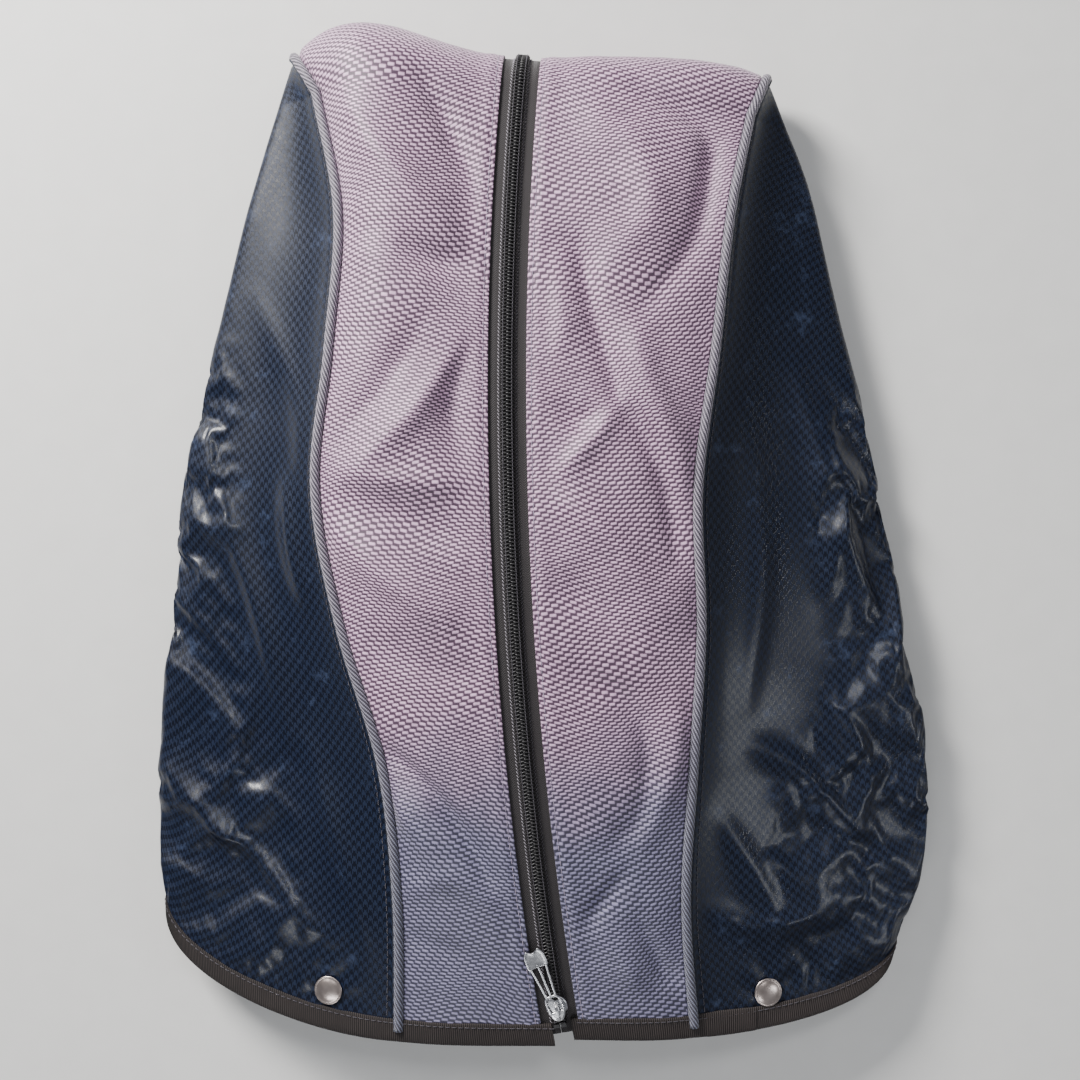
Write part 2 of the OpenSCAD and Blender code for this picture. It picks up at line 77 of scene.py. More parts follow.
# Outline points in per cent of the half width, the half length and the height.
front_seam = {
    LEFT: [(-36.6, -100.4, 61), (-36.6, -72.4, 71), (-40.3, -45.7, 76), (-50.5, -19, 79),
           (-56.7, 7.6, 80), (-53.5, 34.3, 78), (-51.5, 61, 70), (-57.9, 85.7, 55)],
    RIGHT: [(38.6, -99.6, 61), (35.9, -72.4, 72), (37.6, -45.7, 79), (39.4, -19, 82),
            (38.6, 7.6, 82), (43.1, 34.3, 78), (47.3, 61, 70), (53, 81.1, 55)],
}
side_fold = {
    LEFT: [(-98.5, -78.1, 26), (-100, -56.4, 22), (-98.8, -35, 21), (-96.3, -13.3, 21), (-93.6, 8.4, 21),
           (-88.1, 30.1, 22), (-81.7, 51.8, 24), (-74, 73.1, 26), (-64.9, 94.5, 28)],
    RIGHT: [(91.1, -86.1, 26), (99.6, -64, 22), (98.9, -41.9, 21), (94.1, -19.8, 21), (89.6, 2.3, 21),
            (83.9, 24.4, 22), (76.7, 46.5, 24), (69.8, 68.6, 26), (58.4, 90.3, 28)],
}
back_seam = {
    LEFT: [(-41.6, -95.2, 0), (-48.5, -30.5, 0), (-52.5, 26.7, 0), (-57.9, 85.7, 0)],
    RIGHT: [(39.6, -95.2, 0), (44.6, -30.5, 0), (48.5, 26.7, 0), (53, 81.1, 0)],
}


# ---- Curves ----

def mix(a, b, s):
    return a + (b - a) * s


def unit(v):
    return v / np.maximum(np.linalg.norm(v, axis=-1, keepdims=True), 1e-9)


def vec(*parts):
    """Points from x, y and z that may each be a number or an array."""
    return np.stack(np.broadcast_arrays(*[np.asarray(p, float) for p in parts]), -1)


def place(points):
    return np.array(points, float) * (hood_width / 200, hood_length / 200, hood_height / 100)


def spline(points, s):
    """A smooth curve through the points, with s from 0 to 1."""
    p = np.asarray(points, float)
    last = len(p) - 1
    u = np.clip(s, 0, 1) * last
    i = np.minimum(np.floor(u).astype(int), last - 1)
    f = np.asarray(u - i)[..., None]
    p = np.vstack([2 * p[0] - p[1], p, 2 * p[-1] - p[-2]])
    a, b, c, d = p[i], p[i + 1], p[i + 2], p[i + 3]
    return (2 * b + (c - a) * f + (2 * a - 5 * b + 4 * c - d) * f**2 + (3 * b - a - 3 * c + d) * f**3) / 2


def bezier(a, b, c, d, s):
    s = np.asarray(s, float)[..., None]
    return a * (1 - s) ** 3 + 3 * b * s * (1 - s) ** 2 + 3 * c * s * s * (1 - s) + d * s**3


def turned(v, axis, degrees):
    """v turned about the x, y or z axis."""
    a = np.radians(degrees)
    c, s = np.cos(a), np.sin(a)
    x, y, z = v[..., 0], v[..., 1], v[..., 2]
    if axis == "x":
        return vec(x, y * c - z * s, y * s + z * c)
    if axis == "y":
        return vec(x * c + z * s, y, z * c - x * s)
    return vec(x * c - y * s, x * s + y * c, z)


def smooth_step(x, low, high):
    t = np.clip((x - low) / (high - low), 0, 1)
    return t * t * (3 - 2 * t)


def noise(x, y, seed):
    """Smooth noise from about -1 to 1, the same each run."""
    size = 64
    slopes = np.random.default_rng(seed).uniform(0, 2 * np.pi, (size, size))
    x0, y0 = np.floor(x).astype(int), np.floor(y).astype(int)
    fx, fy = x - x0, y - y0

    def corner_value(i, j):
        a = slopes[(x0 + i) % size, (y0 + j) % size]
        return np.cos(a) * (fx - i) + np.sin(a) * (fy - j)

    sx, sy = fx * fx * (3 - 2 * fx), fy * fy * (3 - 2 * fy)
    low = mix(corner_value(0, 0), corner_value(1, 0), sx)
    high = mix(corner_value(0, 1), corner_value(1, 1), sx)
    return 1.6 * mix(low, high, sy)


# ---- The zip's line: an arc in a tilted plane, a roll over the crown and a short run behind ----

zip_r = half_length**2 / (2 * math.hypot(zip_bow, zip_dome))
zip_axis_turn = 90 + math.degrees(math.atan(zip_bow / zip_dome))
zip_middle = np.array([-16.5, 0, hood_height - coil_h - 0.4])
bow_centre_y = 74.0
dome_centre_y = -20.0
zip_yaw = math.degrees(2 * zip_bow * bow_centre_y / half_length**2)
zip_pitch = math.degrees(2 * zip_dome * dome_centre_y / half_length**2)


def zip_point(angle, aside, up, along=0.0):
    """A point at an angle along the zip's arc, aside of the chain and above the tape."""
    v = np.array([zip_r, 0, 0]) + turned(vec(aside, along, up), "y", zip_axis_turn)
    v = turned(v, "z", angle) - np.array([zip_r, 0, 0])
    return zip_middle + turned(turned(turned(v, "y", -zip_axis_turn), "x", zip_pitch), "z", zip_yaw)


def zip_angle(y):
    return math.degrees(math.asin(y / zip_r))


hem_angle = zip_angle(-half_length)
roll_angle = zip_angle(227)
crown_run = 15.0
roll_top = zip_point(roll_angle, 0, 0)
roll_tangent = unit(zip_point(roll_angle + 0.1, 0, 0) - zip_point(roll_angle - 0.1, 0, 0))
roll_up = unit(zip_point(roll_angle, 0, 10) - roll_top)
roll_across = unit(zip_point(roll_angle, 10, 0) - roll_top)
roll_slope = math.degrees(math.atan2(-roll_tangent[2], math.hypot(roll_tangent[0], roll_tangent[1])))
roll_sweep = 180 - roll_slope
roll_r = (roll_top[2] - coil_h - 0.1) / (1 + math.cos(math.radians(roll_slope)))


def roll_point(angle, aside, up):
    a = np.radians(np.asarray(angle, float))[..., None]
    out = roll_up * np.cos(a) + roll_tangent * np.sin(a)
    reach = np.asarray(roll_r + np.asarray(up, float))[..., None]
    return roll_top - roll_up * roll_r + roll_across * np.asarray(aside, float)[..., None] + out * reach


run_way = roll_tangent * math.cos(math.radians(roll_sweep)) - roll_up * math.sin(math.radians(roll_sweep))
run_length = roll_point(roll_sweep, 0, 0)[1] - crown_seam_y - 0.4


def zip_line(w, aside, up):
    """The zip from the hem at 0, over the crown from 1 to 2, to the crown seam at 3."""
    w, aside, up = np.broadcast_arrays(np.asarray(w, float), aside, up)
    front = zip_point(mix(hem_angle, roll_angle, np.clip(w, 0, 1)), aside, up)
    roll = roll_point(np.clip(w - 1, 0, 1) * roll_sweep, aside, up)
    run = roll + run_way * (np.clip(w - 2, 0, None) * run_length)[..., None]
    return np.where((w <= 1)[..., None], front, run)


# ---- Seams and panels ----

def edge_point(side, f):
    return spline(place(side_fold[side]), f)


seam_top = {side: place(front_seam[side][-1]) for side in SIDES}


def corner(side):
    e = edge_point(side, 1.0)
    return np.array([e[0], e[1], (seam_top[side][2] + piping_r) / 2])


def seam(side, q):
    """A seam's centre line: 0 is the front hem, 1 the top corner and 2 the back hem."""
    q = np.asarray(q, float)
    f = np.where(q <= 1, q, 2 - q)
    turn = np.pi / 2 * np.clip((f - roll_start) / (1 - roll_start), 0, 1)
    front = spline(place(front_seam[side]), f / roll_start)
    back = spline(place(back_seam[side]), f / roll_start) + [0, 0, piping_r]
    top, end = seam_top[side], corner(side)
    start_z = np.where(q <= 1, top[2], piping_r)
    rolled = vec(mix(top[0], end[0], np.sin(turn)), mix(top[1], end[1], np.sin(turn)),
                 mix(end[2], start_z, np.cos(turn)))
    flat = np.where((q <= 1)[..., None], front, back)
    return np.where((f > roll_start)[..., None], rolled, flat)


def side_skin(side, s, f):
    """A side panel from its front seam at 0, round the fold at 1, to its back seam at 2."""
    s, f = np.broadcast_arrays(np.asarray(s, float), np.asarray(f, float))
    e = edge_point(side, f)
    p = seam(side, f) - [0, 0, piping_proud]
    r = seam(side, 2 - f) - [0, 0, piping_r]
    px, py, pz = p[..., 0], p[..., 1], p[..., 2]
    ex, ey, ez = e[..., 0], e[..., 1], e[..., 2]
    rx, ry, rz = r[..., 0], r[..., 1], r[..., 2]
    steep = mix(0.35, 0.85, np.minimum(1, f * 4))
    leave = vec(px + 0.42 * (ex - px), py, pz - steep * (pz - ez))
    arrive = vec(ex, mix(ey, py, hem_round[side]), mix(ez, pz, 0.25))
    under = vec(ex, mix(ey, ry, 0.3), rz)
    flat = vec(mix(ex, rx, 0.4), mix(ey, ry, 0.7), rz)
    front = bezier(p, leave, arrive, e, np.clip(s, 0, 1))
    back = bezier(e, under, flat, r, np.clip(s - 1, 0, 1))
    return np.where((s < 1)[..., None], front, back)


def band_out(w):
    """The band's outward direction, before, over and behind the crown."""
    turn = np.pi * np.clip(w - 1, 0, 1)
    return vec(0, np.sin(turn), np.cos(turn))


def run_end(side):
    top = seam_top[side]
    return 2 - roll_start * (1 - (top[1] - crown_seam_y - 0.4) / (top[1] + 0.952 * half_length))


def band_seam(side, w):
    w = np.asarray(w, float)
    last = 2 - roll_start
    q = np.where(w <= 1, w * roll_start, np.where(w <= 2, mix(roll_start, last, np.clip(w - 1, 0, 1)),
                                                  mix(last, run_end(side), w - 2)))
    rise = mix(piping_proud, -piping_r, np.clip(w - 1, 0, 1))
    return seam(side, q) - band_out(w) * rise[..., None]


def band_skin(side, s, w):
    """The band from the zip at s 0 to a seam at s 1. It leaves the zip level with the tape."""
    s, w = np.broadcast_arrays(np.asarray(s, float), np.asarray(w, float))
    a = zip_line(w, side * zip_gap, panel_lift)
    b = band_seam(side, w)
    out = band_out(w)
    most = crown_bulge[side]
    size = np.where(w <= 1, mix(hem_bulge, most, w * w), most)
    lift = size * 6.75 * s * s * (1 - s)
    crowning = np.where(out[..., 2:] < 0, out * [0, 1, 0], out) * lift[..., None]
    drop = ((b - a) * out).sum(-1) * (s * s - s)
    return mix(a, b, s[..., None]) + crowning + out * drop[..., None]


def grid_normal(p, facing):
    """Normals of a grid of points, with facing 1 or -1 so that they point outward."""
    return facing * unit(np.cross(np.gradient(p, axis=1), np.gradient(p, axis=0)))


# ---- Meshes ----

def arc_uv(p):
    """Lengths across and along a grid of points, in metres, for its weave."""
    across = np.linalg.norm(np.diff(p, axis=1), axis=-1)
    along = np.linalg.norm(np.diff(p, axis=0), axis=-1).mean(axis=1)
    u = np.concatenate([np.zeros((len(p), 1)), np.cumsum(across, axis=1)], axis=1)
    v = np.concatenate([[0], np.cumsum(along)])[:, None] + np.zeros_like(u)
    return np.stack([u, v], -1) * MM


def linked(name, data):
    """A new object in the scene."""
    made = bpy.data.objects.new(name, data)
    scene.collection.objects.link(made)
    return made


def add_mesh(name, points, faces, loop_uv, materials, body="root"):
    mesh = bpy.data.meshes.new(name)
    spots = np.asarray(points, float).reshape(-1, 3) * MM
    mesh.from_pydata(spots.tolist(), [], [list(map(int, face)) for face in faces])
    if loop_uv is not None:
        layer = mesh.uv_layers.new(name="weave")
        layer.data.foreach_set("uv", np.asarray(loop_uv, np.float32).ravel())
    mesh.polygons.foreach_set("use_smooth", [True] * len(mesh.polygons))
    for material in materials:
        mesh.materials.append(material)
    mesh.update()
    piece = linked(name, mesh)
    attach(piece, body)
    return piece


def grid_faces(rows, cols, closed, flip):
    index = np.arange(rows * cols).reshape(rows, cols)
    if closed:
        index = np.concatenate([index, index[:, :1]], axis=1)
    corners = [index[:-1, :-1], index[:-1, 1:], index[1:, 1:], index[1:, :-1]]
    faces = np.stack([c.ravel() for c in (corners[::-1] if flip else corners)], -1)
    return faces


def grid_piece(name, p, materials, flip=False, closed=False, caps=False, body="root", uv=None):
    """A sheet or a tube from a grid of points. A closed grid joins its last column to its first."""
    rows, cols = p.shape[:2]
    faces = grid_faces(rows, cols, closed, flip)
    if uv is None:
        uv = arc_uv(np.concatenate([p, p[:, :1]], axis=1) if closed else p)
    corners = [uv[:-1, :-1], uv[:-1, 1:], uv[1:, 1:], uv[1:, :-1]]
    loop_uv = np.stack([c.reshape(-1, 2) for c in (corners[::-1] if flip else corners)], 1).reshape(-1, 2)
    faces = faces.tolist()
    if caps:
        ends = [list(range(cols)), list(range((rows - 1) * cols, rows * cols))]
        for k, end in enumerate(ends):
            faces.append(end[::-1] if (k == 0) != flip else end)
            loop_uv = np.vstack([loop_uv, np.zeros((cols, 2))])
    return add_mesh(name, p, faces, loop_uv, materials, body)


def thicken(piece, thickness, inner_slot=0):
    """Gives a sheet its real thickness, on its inner side."""
    solid = piece.modifiers.new("thickness", "SOLIDIFY")
    solid.thickness = thickness * MM
    solid.offset = -1
    solid.material_offset = inner_slot
    solid.use_quality_normals = True


def copies(name, template, template_faces, origins, axes, materials, body="root"):
    """One mesh with a copy of the template at each origin, turned to its x, y and z axes."""
    placed = origins[:, None, :] + np.einsum("vk,nkc->nvc", template, axes)
    count = len(template)
    faces = [[i * count + v for v in face] for i in range(len(origins)) for face in template_faces]
    uv = np.array([template[v][:2] * MM for face in template_faces for v in face])
    return add_mesh(name, placed, faces, np.tile(uv, (len(origins), 1)), materials, body)


def closed_tube_faces(rings, count):
    """Faces of a tube of rings with count points each, closed at both ends."""
    faces = grid_faces(rings, count, True, False).tolist()
    faces.append(list(range(count))[::-1])
    faces.append(list(range((rings - 1) * count, rings * count)))
    return faces


def tube_template(path, radii, sides=6):
    """A round bar along a short path, closed at both ends."""
    path = np.asarray(path, float)
    radii = np.asarray(radii, float)
    way = unit(np.gradient(path, axis=0))
    guide = np.array([0.0, 1.0, 0.0]) if abs(way[len(way) // 2][1]) < 0.7 else np.array([0.0, 0.0, 1.0])
    a = unit(np.cross(way, guide))
    b = np.cross(way, a)
    turn = np.arange(sides) * 2 * np.pi / sides
    ring = a[:, None] * np.cos(turn)[None, :, None] + b[:, None] * np.sin(turn)[None, :, None]
    points = (path[:, None] + ring * radii[:, None, None]).reshape(-1, 3)
    return points, closed_tube_faces(len(path), sides)


def run_lengths(line):
    """Length along a line from its start to each of its points."""
    return np.concatenate([[0], np.cumsum(np.linalg.norm(np.diff(line, axis=0), axis=-1))])


def resample(line, step):
    """Points at even spacing along a line, with the line's tangent at each."""
    length = run_lengths(line)
    at = np.arange(0, length[-1], step)
    points = np.stack([np.interp(at, length, line[:, k]) for k in range(3)], -1)
    return points, unit(np.gradient(points, axis=0))


def stitch_row(name, line, up, material, stitch=3.1, gap=0.8, thread_r=0.24, lift=0.1):
    """A row of sewn stitches along a line of points. up is the cloth's outward direction there."""
    step = stitch + gap
    points, way = resample(line, step)
    length = run_lengths(line)
    at = np.arange(0, length[-1], step)
    out = unit(np.stack([np.interp(at, length, up[:, k]) for k in range(3)], -1))
    across = unit(np.cross(out, way))
    out = np.cross(way, across)
    half = stitch / 2
    path = [(-half, 0, -0.3), (-half * 0.8, 0, 0.0), (-half * 0.3, 0, 0.16), (half * 0.3, 0, 0.16),
            (half * 0.8, 0, 0.0), (half, 0, -0.3)]
    template, faces = tube_template(path, [thread_r * k for k in (0.5, 0.9, 1, 1, 0.9, 0.5)], 5)
    axes = np.stack([way, across, out], 1)
    return copies(name, template, faces, points + out * lift, axes, [material])


# ---- Materials ----

def colour(code):
    """Linear colour from a hex code."""
    parts = [int(code[i:i + 2], 16) / 255 for i in (0, 2, 4)]
    return [c / 12.92 if c <= 0.04045 else ((c + 0.055) / 1.055) ** 2.4 for c in parts] + [1.0]


class Finish:
    """A Principled material, with short ways to add nodes to it."""

    def __init__(self, name, **values):
        self.material = bpy.data.materials.new(name)
        self.material.use_nodes = True
        self.tree = self.material.node_tree
        self.shader = self.tree.nodes["Principled BSDF"]
        for socket, value in values.items():
            self.shader.inputs[socket.replace("_", " ")].default_value = value

    def node(self, kind, **settings):
        made = self.tree.nodes.new("ShaderNode" + kind)
        for key, value in settings.items():
            setattr(made, key, value)
        return made

    def feed(self, socket, value):
        if isinstance(value, bpy.types.NodeSocket):
            self.tree.links.new(value, socket)
        else:
            socket.default_value = value

    def sum(self, operation, *values):
        made = self.node("Math", operation=operation)
        for socket, value in zip(made.inputs, values):
            self.feed(socket, value)
        return made.outputs[0]

    def blend(self, share, a, b):
        made = self.node("Mix", data_type="RGBA")
        self.feed(made.inputs["Factor"], share)
        self.feed(made.inputs[6], a)
        self.feed(made.inputs[7], b)
        return made.outputs[2]

    def place(self):
        """The surface's own lengths across and along it, in metres."""
        made = self.node("UVMap", uv_map="weave")
        split = self.node("SeparateXYZ")
        self.tree.links.new(made.outputs[0], split.inputs[0])
        return split.outputs[0], split.outputs[1]

    def position(self):
        return self.node("TexCoord").outputs["Object"]

    def noise(self, vector, scale, detail=2.0, rough=0.5):
        made = self.node("TexNoise")
        self.tree.links.new(vector, made.inputs["Vector"])
        made.inputs["Scale"].default_value = scale
        made.inputs["Detail"].default_value = detail
        made.inputs["Roughness"].default_value = rough
        return made.outputs["Fac"]

    def wave(self, value, period):
        """From 0 to 1 and back over each period."""
        turn = self.sum("MULTIPLY", value, 2 * math.pi / period)
        return self.sum("MULTIPLY_ADD", self.sum("SINE", turn), 0.5, 0.5)

    def between(self, value, low, high):
        made = self.node("MapRange", interpolation_type="SMOOTHSTEP")
        for socket, number in zip(made.inputs, (value, low, high)):
            self.feed(socket, number)
        return made.outputs[0]

    def bump(self, height, distance, strength=1.0):
        made = self.node("Bump")
        made.inputs["Strength"].default_value = strength
        made.inputs["Distance"].default_value = distance
        self.feed(made.inputs["Height"], height)
        self.tree.links.new(made.outputs[0], self.shader.inputs["Normal"])

    def paint(self, socket, value):
        self.feed(self.shader.inputs[socket], value)


def floats(f, u, v, length, pitch, shift, slant):
    """Height of a weave of long floats: rows of slanted raised threads, each row shifted from the last."""
    row = f.sum("FLOOR", f.sum("DIVIDE", v, pitch))
    along = f.sum("FRACT", f.sum("ADD", f.sum("DIVIDE", u, length), f.sum("MULTIPLY", row, shift)))
    lean = f.sum("MULTIPLY", f.sum("SUBTRACT", along, 0.5), slant)
    up = f.sum("SUBTRACT", f.sum("FRACT", f.sum("DIVIDE", v, pitch)), lean)
    thread = f.sum("SINE", f.sum("MULTIPLY", up, math.pi))
    ends = f.sum("SINE", f.sum("MULTIPLY", along, math.pi))
    return f.sum("MULTIPLY", f.between(thread, 0.3, 1.0), f.between(ends, 0.05, 0.7))


def woven_band():
    """Satin cloth with lilac floats over a darker ground. Towards the hem both are painted cooler and darker:
    a painted sheen standing in for the satin's sheen fading where it slopes down.
    """
    f = Finish("woven_band", Roughness=0.5, Sheen_Weight=0.25, Sheen_Roughness=0.4)
    u, v = f.place()
    where = f.position()
    sway = f.sum("MULTIPLY", f.sum("SUBTRACT", f.noise(where, 14.0, 1.0), 0.5), 0.03)
    leaning = f.sum("ADD", f.sum("ADD", v, f.sum("MULTIPLY", u, 0.18)), sway)
    height = floats(f, u, leaning, 0.0042, 0.00205, 0.36, 0.45)
    split = f.node("SeparateXYZ")
    f.tree.links.new(where, split.inputs[0])
    # Painted sheen: the floats and the ground turn a cooler, darker slate towards the hem, along a wavy
    # boundary.
    edge = f.sum("MULTIPLY_ADD", f.noise(where, 22.0, 2.0), 0.06, split.outputs[1])
    painted_hem_sheen = f.between(edge, -0.045, -0.14)
    light = f.blend(painted_hem_sheen, colour("e4bcdb"), colour("8f8aaa"))
    dark = f.blend(painted_hem_sheen, colour("483245"), colour("2e2d3e"))
    worn = f.noise(where, 300.0, 3.0, 0.7)
    share = f.sum("MULTIPLY", height, f.sum("MULTIPLY_ADD", worn, 1.3, 0.25))
    f.paint("Base Color", f.blend(share, dark, light))
    f.paint("Roughness", f.sum("MULTIPLY_ADD", height, -0.14, 0.56))
    f.bump(height, 0.0003, 0.7)
    return f.material


def houndstooth(f, u, v, tile):
    """An embossed check of toothed diamonds: 1 on the raised ones and 0 between them."""
    a = f.sum("DIVIDE", f.sum("ADD", u, v), tile)
    b = f.sum("DIVIDE", f.sum("SUBTRACT", u, v), tile)
    warp = f.sum("GREATER_THAN", f.sum("FRACT", a), 0.5)
    weft = f.sum("GREATER_THAN", f.sum("FRACT", b), 0.5)
    twill = f.sum("GREATER_THAN", f.sum("FRACT", f.sum("MULTIPLY", f.sum("ADD", a, b), 2.0)), 0.5)
    raised_warp = f.sum("MULTIPLY", warp, twill)
    raised_weft = f.sum("MULTIPLY", weft, f.sum("SUBTRACT", 1.0, twill))
    return f.sum("ADD", raised_warp, raised_weft)


def coated_side():
    """Navy cloth under a glossy coat, embossed with a small toothed check."""
    f = Finish("coated_side", IOR=1.4, Roughness=0.35, Coat_Weight=0.16, Coat_Roughness=0.18)
    u, v = f.place()
    where = f.position()
    check = houndstooth(f, u, v, 0.0052)
    cloud = f.noise(where, 16.0, 4.0, 0.6)
    scuff = f.between(f.noise(where, 60.0, 6.0, 0.7), 0.58, 0.72)
    deep = f.blend(check, colour("040817"), colour("0d1930"))
    f.paint("Base Color", f.blend(f.sum("MULTIPLY", scuff, 0.25), deep, colour("4a5878")))
    gloss = f.sum("MULTIPLY_ADD", check, 0.16, 0.25)
    f.paint("Roughness", f.sum("ADD", gloss, f.sum("MULTIPLY", cloud, 0.2)))
    fine = f.noise(where, 220.0, 2.0)
    f.bump(f.sum("ADD", check, f.sum("MULTIPLY", fine, 0.8)), 0.00012, 0.8)
    return f.material


def cloth_back():
    """The dull woven back of the coated cloth."""
    f = Finish("cloth_back", Roughness=0.85)
    u, v = f.place()
    weave = f.sum("MULTIPLY", f.wave(u, 0.0009), f.wave(v, 0.0009))
    stain = f.noise(f.position(), 25.0, 3.0)
    base = f.blend(stain, colour("17191f"), colour("262932"))
    f.paint("Base Color", f.blend(weave, base, colour("343844")))
    f.bump(weave, 0.0002, 0.5)
    return f.material


def piping_cover():
    """The band's satin cut on the slant round the cord."""
    f = Finish("piping_cover", Roughness=0.5, Sheen_Weight=0.2, Sheen_Roughness=0.4)
    u, v = f.place()
    slant = f.sum("ADD", v, f.sum("MULTIPLY", u, 1.7))
    rib = f.wave(slant, 0.0031)
    fine = f.wave(f.sum("SUBTRACT", v, f.sum("MULTIPLY", u, 0.6)), 0.0011)
    height = f.sum("MULTIPLY", f.between(rib, 0.2, 0.9), f.sum("MULTIPLY_ADD", fine, 0.3, 0.7))
    split = f.node("SeparateXYZ")
    f.tree.links.new(f.position(), split.inputs[0])
    # Painted sheen: the cover's ribs are painted a cooler, darker slate towards the hem, as on the band.
    painted_hem_sheen = f.between(split.outputs[1], 0.02, -0.2)
    light = f.blend(painted_hem_sheen, colour("a198a6"), colour("7f8294"))
    f.paint("Base Color", f.blend(height, colour("3a3640"), light))
    f.bump(height, 0.0005, 0.8)
    return f.material


def ribbon():
    """Black grosgrain with a rib across it."""
    f = Finish("ribbon", Roughness=0.8)
    u, v = f.place()
    rib = f.wave(v, 0.0011)
    thread = f.wave(u, 0.0005)
    height = f.sum("MULTIPLY", rib, f.sum("MULTIPLY_ADD", thread, 0.25, 0.75))
    dust = f.noise(f.position(), 90.0, 3.0)
    light = f.blend(dust, colour("2c2423"), colour("453b38"))
    f.paint("Base Color", f.blend(height, colour("0b0909"), light))
    f.bump(height, 0.0003, 0.9)
    return f.material


def zip_tape():
    """Black tape woven in a herringbone."""
    f = Finish("zip_tape", Roughness=0.75, Sheen_Weight=0.2)
    u, v = f.place()
    lane = f.sum("ABSOLUTE", f.sum("SUBTRACT", f.sum("FRACT", f.sum("DIVIDE", u, 0.004)), 0.5))
    rib = f.wave(f.sum("ADD", v, f.sum("MULTIPLY", lane, 0.004)), 0.0012)
    dust = f.noise(f.position(), 70.0, 3.0)
    light = f.blend(dust, colour("241e20"), colour("332c2e"))
    f.paint("Base Color", f.blend(rib, colour("0d0a0b"), light))
    f.bump(rib, 0.0002, 0.8)
    return f.material


def zip_coil():
    """The coil's dark nylon, with its moulding haze."""
    f = Finish("zip_coil", Roughness=0.35)
    haze = f.noise(f.position(), 400.0, 3.0)
    f.paint("Base Color", f.blend(haze, colour("0d0c0d"), colour("232123")))
    f.paint("Roughness", f.sum("MULTIPLY_ADD", haze, 0.2, 0.28))
    f.bump(haze, 0.00005, 0.5)
    return f.material


def thread(name, low, high):
    """Twisted sewing thread."""
    f = Finish(name, Roughness=0.7, Sheen_Weight=0.3)
    u, v = f.place()
    twist = f.wave(f.sum("ADD", u, v), 0.0005)
    f.paint("Base Color", f.blend(twist, colour(low), colour(high)))
    f.bump(twist, 0.00008, 0.6)
    return f.material


def metal(name, low, high, rough):
    """Plated metal with fine handling scratches."""
    f = Finish(name, Metallic=1.0, Roughness=rough)
    where = f.position()
    rub = f.noise(where, 150.0, 4.0, 0.6)
    fine = f.noise(where, 1200.0, 2.0)
    f.paint("Base Color", f.blend(rub, colour(low), colour(high)))
    f.paint("Roughness", f.sum("MULTIPLY_ADD", rub, 0.25, rough - 0.1))
    f.bump(f.sum("ADD", fine, rub), 0.00004, 0.4)
    return f.material


def cotton():
    """The undyed cotton of the piping cords."""
    f = Finish("piping_cord", Roughness=0.9)
    fibre = f.noise(f.position(), 900.0, 3.0)
    f.paint("Base Color", f.blend(fibre, colour("b9b4a8"), colour("e6e2d8")))
    f.bump(fibre, 0.0002, 0.7)
    return f.material


band_cloth = woven_band()
side_cloth = coated_side()
inner_cloth = cloth_back()
piping_cloth = piping_cover()
ribbon_cloth = ribbon()
tape_cloth = zip_tape()
coil_nylon = zip_coil()
dark_thread = thread("dark_thread", "2a262c", "4c4650")
band_thread = thread("band_thread", "6f6478", "a598ac")
light_thread = thread("light_thread", "77717a", "b5afb8")
slider_metal = metal("nickel", "b8b8ba", "e4e4e6", 0.26)
cap_metal = metal("snap_metal", "b3a49c", "dccfc8", 0.3)
cord_cotton = cotton()

# ---- Camera, floor and light ----

camera_data = bpy.data.cameras.new("camera")
camera = linked("camera", camera_data)
scene.camera = camera
camera_data.lens = 50
camera_data.sensor_width = 36
camera.location = (-0.0015, -0.006, 0.815)
camera.rotation_euler = (0, 0, 0)


def floor_material():
    """Pale matt floor with a faint grain."""
    f = Finish("pale_floor", Roughness=0.6)
    grain = f.noise(f.position(), 60.0, 4.0)
    f.paint("Base Color", f.blend(grain, colour("d9d8d5"), colour("e2e1de")))
    return f.material


def add_floor():
    """A wide pale floor under the hood."""
    size = 3.0
    mesh = bpy.data.meshes.new("floor")
    corners = [(-size, -size, 0), (size, -size, 0), (size, size, 0), (-size, size, 0)]
    mesh.from_pydata(corners, [], [(0, 1, 2, 3)])
    mesh.materials.append(floor_material())
    linked("floor", mesh)


def area_light(name, spot, size, power, tint=(1, 1, 1)):
    """A soft panel of light that faces the middle of the hood."""
    data = bpy.data.lights.new(name, "AREA")
    data.shape = "RECTANGLE"
    data.size, data.size_y = size
    data.energy = power
    data.color = tint
    lamp = linked(name, data)
    lamp.location = spot
    lamp.rotation_euler = (Vector((0, 0, 0.03)) - Vector(spot)).to_track_quat("-Z", "Y").to_euler()


def add_light():
    """A low key light from the crown's left, three weaker lights and a dim surround."""
    world = bpy.data.worlds.new("studio")
    world.use_nodes = True
    world.node_tree.nodes["Background"].inputs["Color"].default_value = (0.85, 0.88, 0.95, 1)
    world.node_tree.nodes["Background"].inputs["Strength"].default_value = 0.22
    scene.world = world
    area_light("key", (-0.8, 0.9, 0.72), (0.45, 0.45), 46, (1.0, 0.985, 0.97))
    area_light("top", (0.15, 0.7, 1.6), (0.4, 0.3), 6, (0.97, 0.98, 1.0))
    area_light("fill", (1.15, -0.35, 0.9), (0.3, 0.5), 3, (0.93, 0.96, 1.0))
    area_light("hem_light", (-0.3, -1.2, 0.9), (0.8, 0.3), 6, (0.95, 0.97, 1.0))


add_floor()
add_light()

# ---- Panels ----

cloth_t = 0.8


def hem_start():
    """Panels begin inside the hem's ribbon."""
    return bound * 0.45


def band_stations():
    front = np.linspace(hem_start() / roll_start, 1, 190)
    over = np.linspace(1, 2, 40)[1:]
    return np.concatenate([front, over, np.linspace(2, 3, 14)[1:]])


def turned_edge(p, n, way, away):
    """Rounded return of a cloth edge: columns that curl under it. way points into the panel."""
    return np.stack([p + way * inward - n * down for inward, down in away], 1)


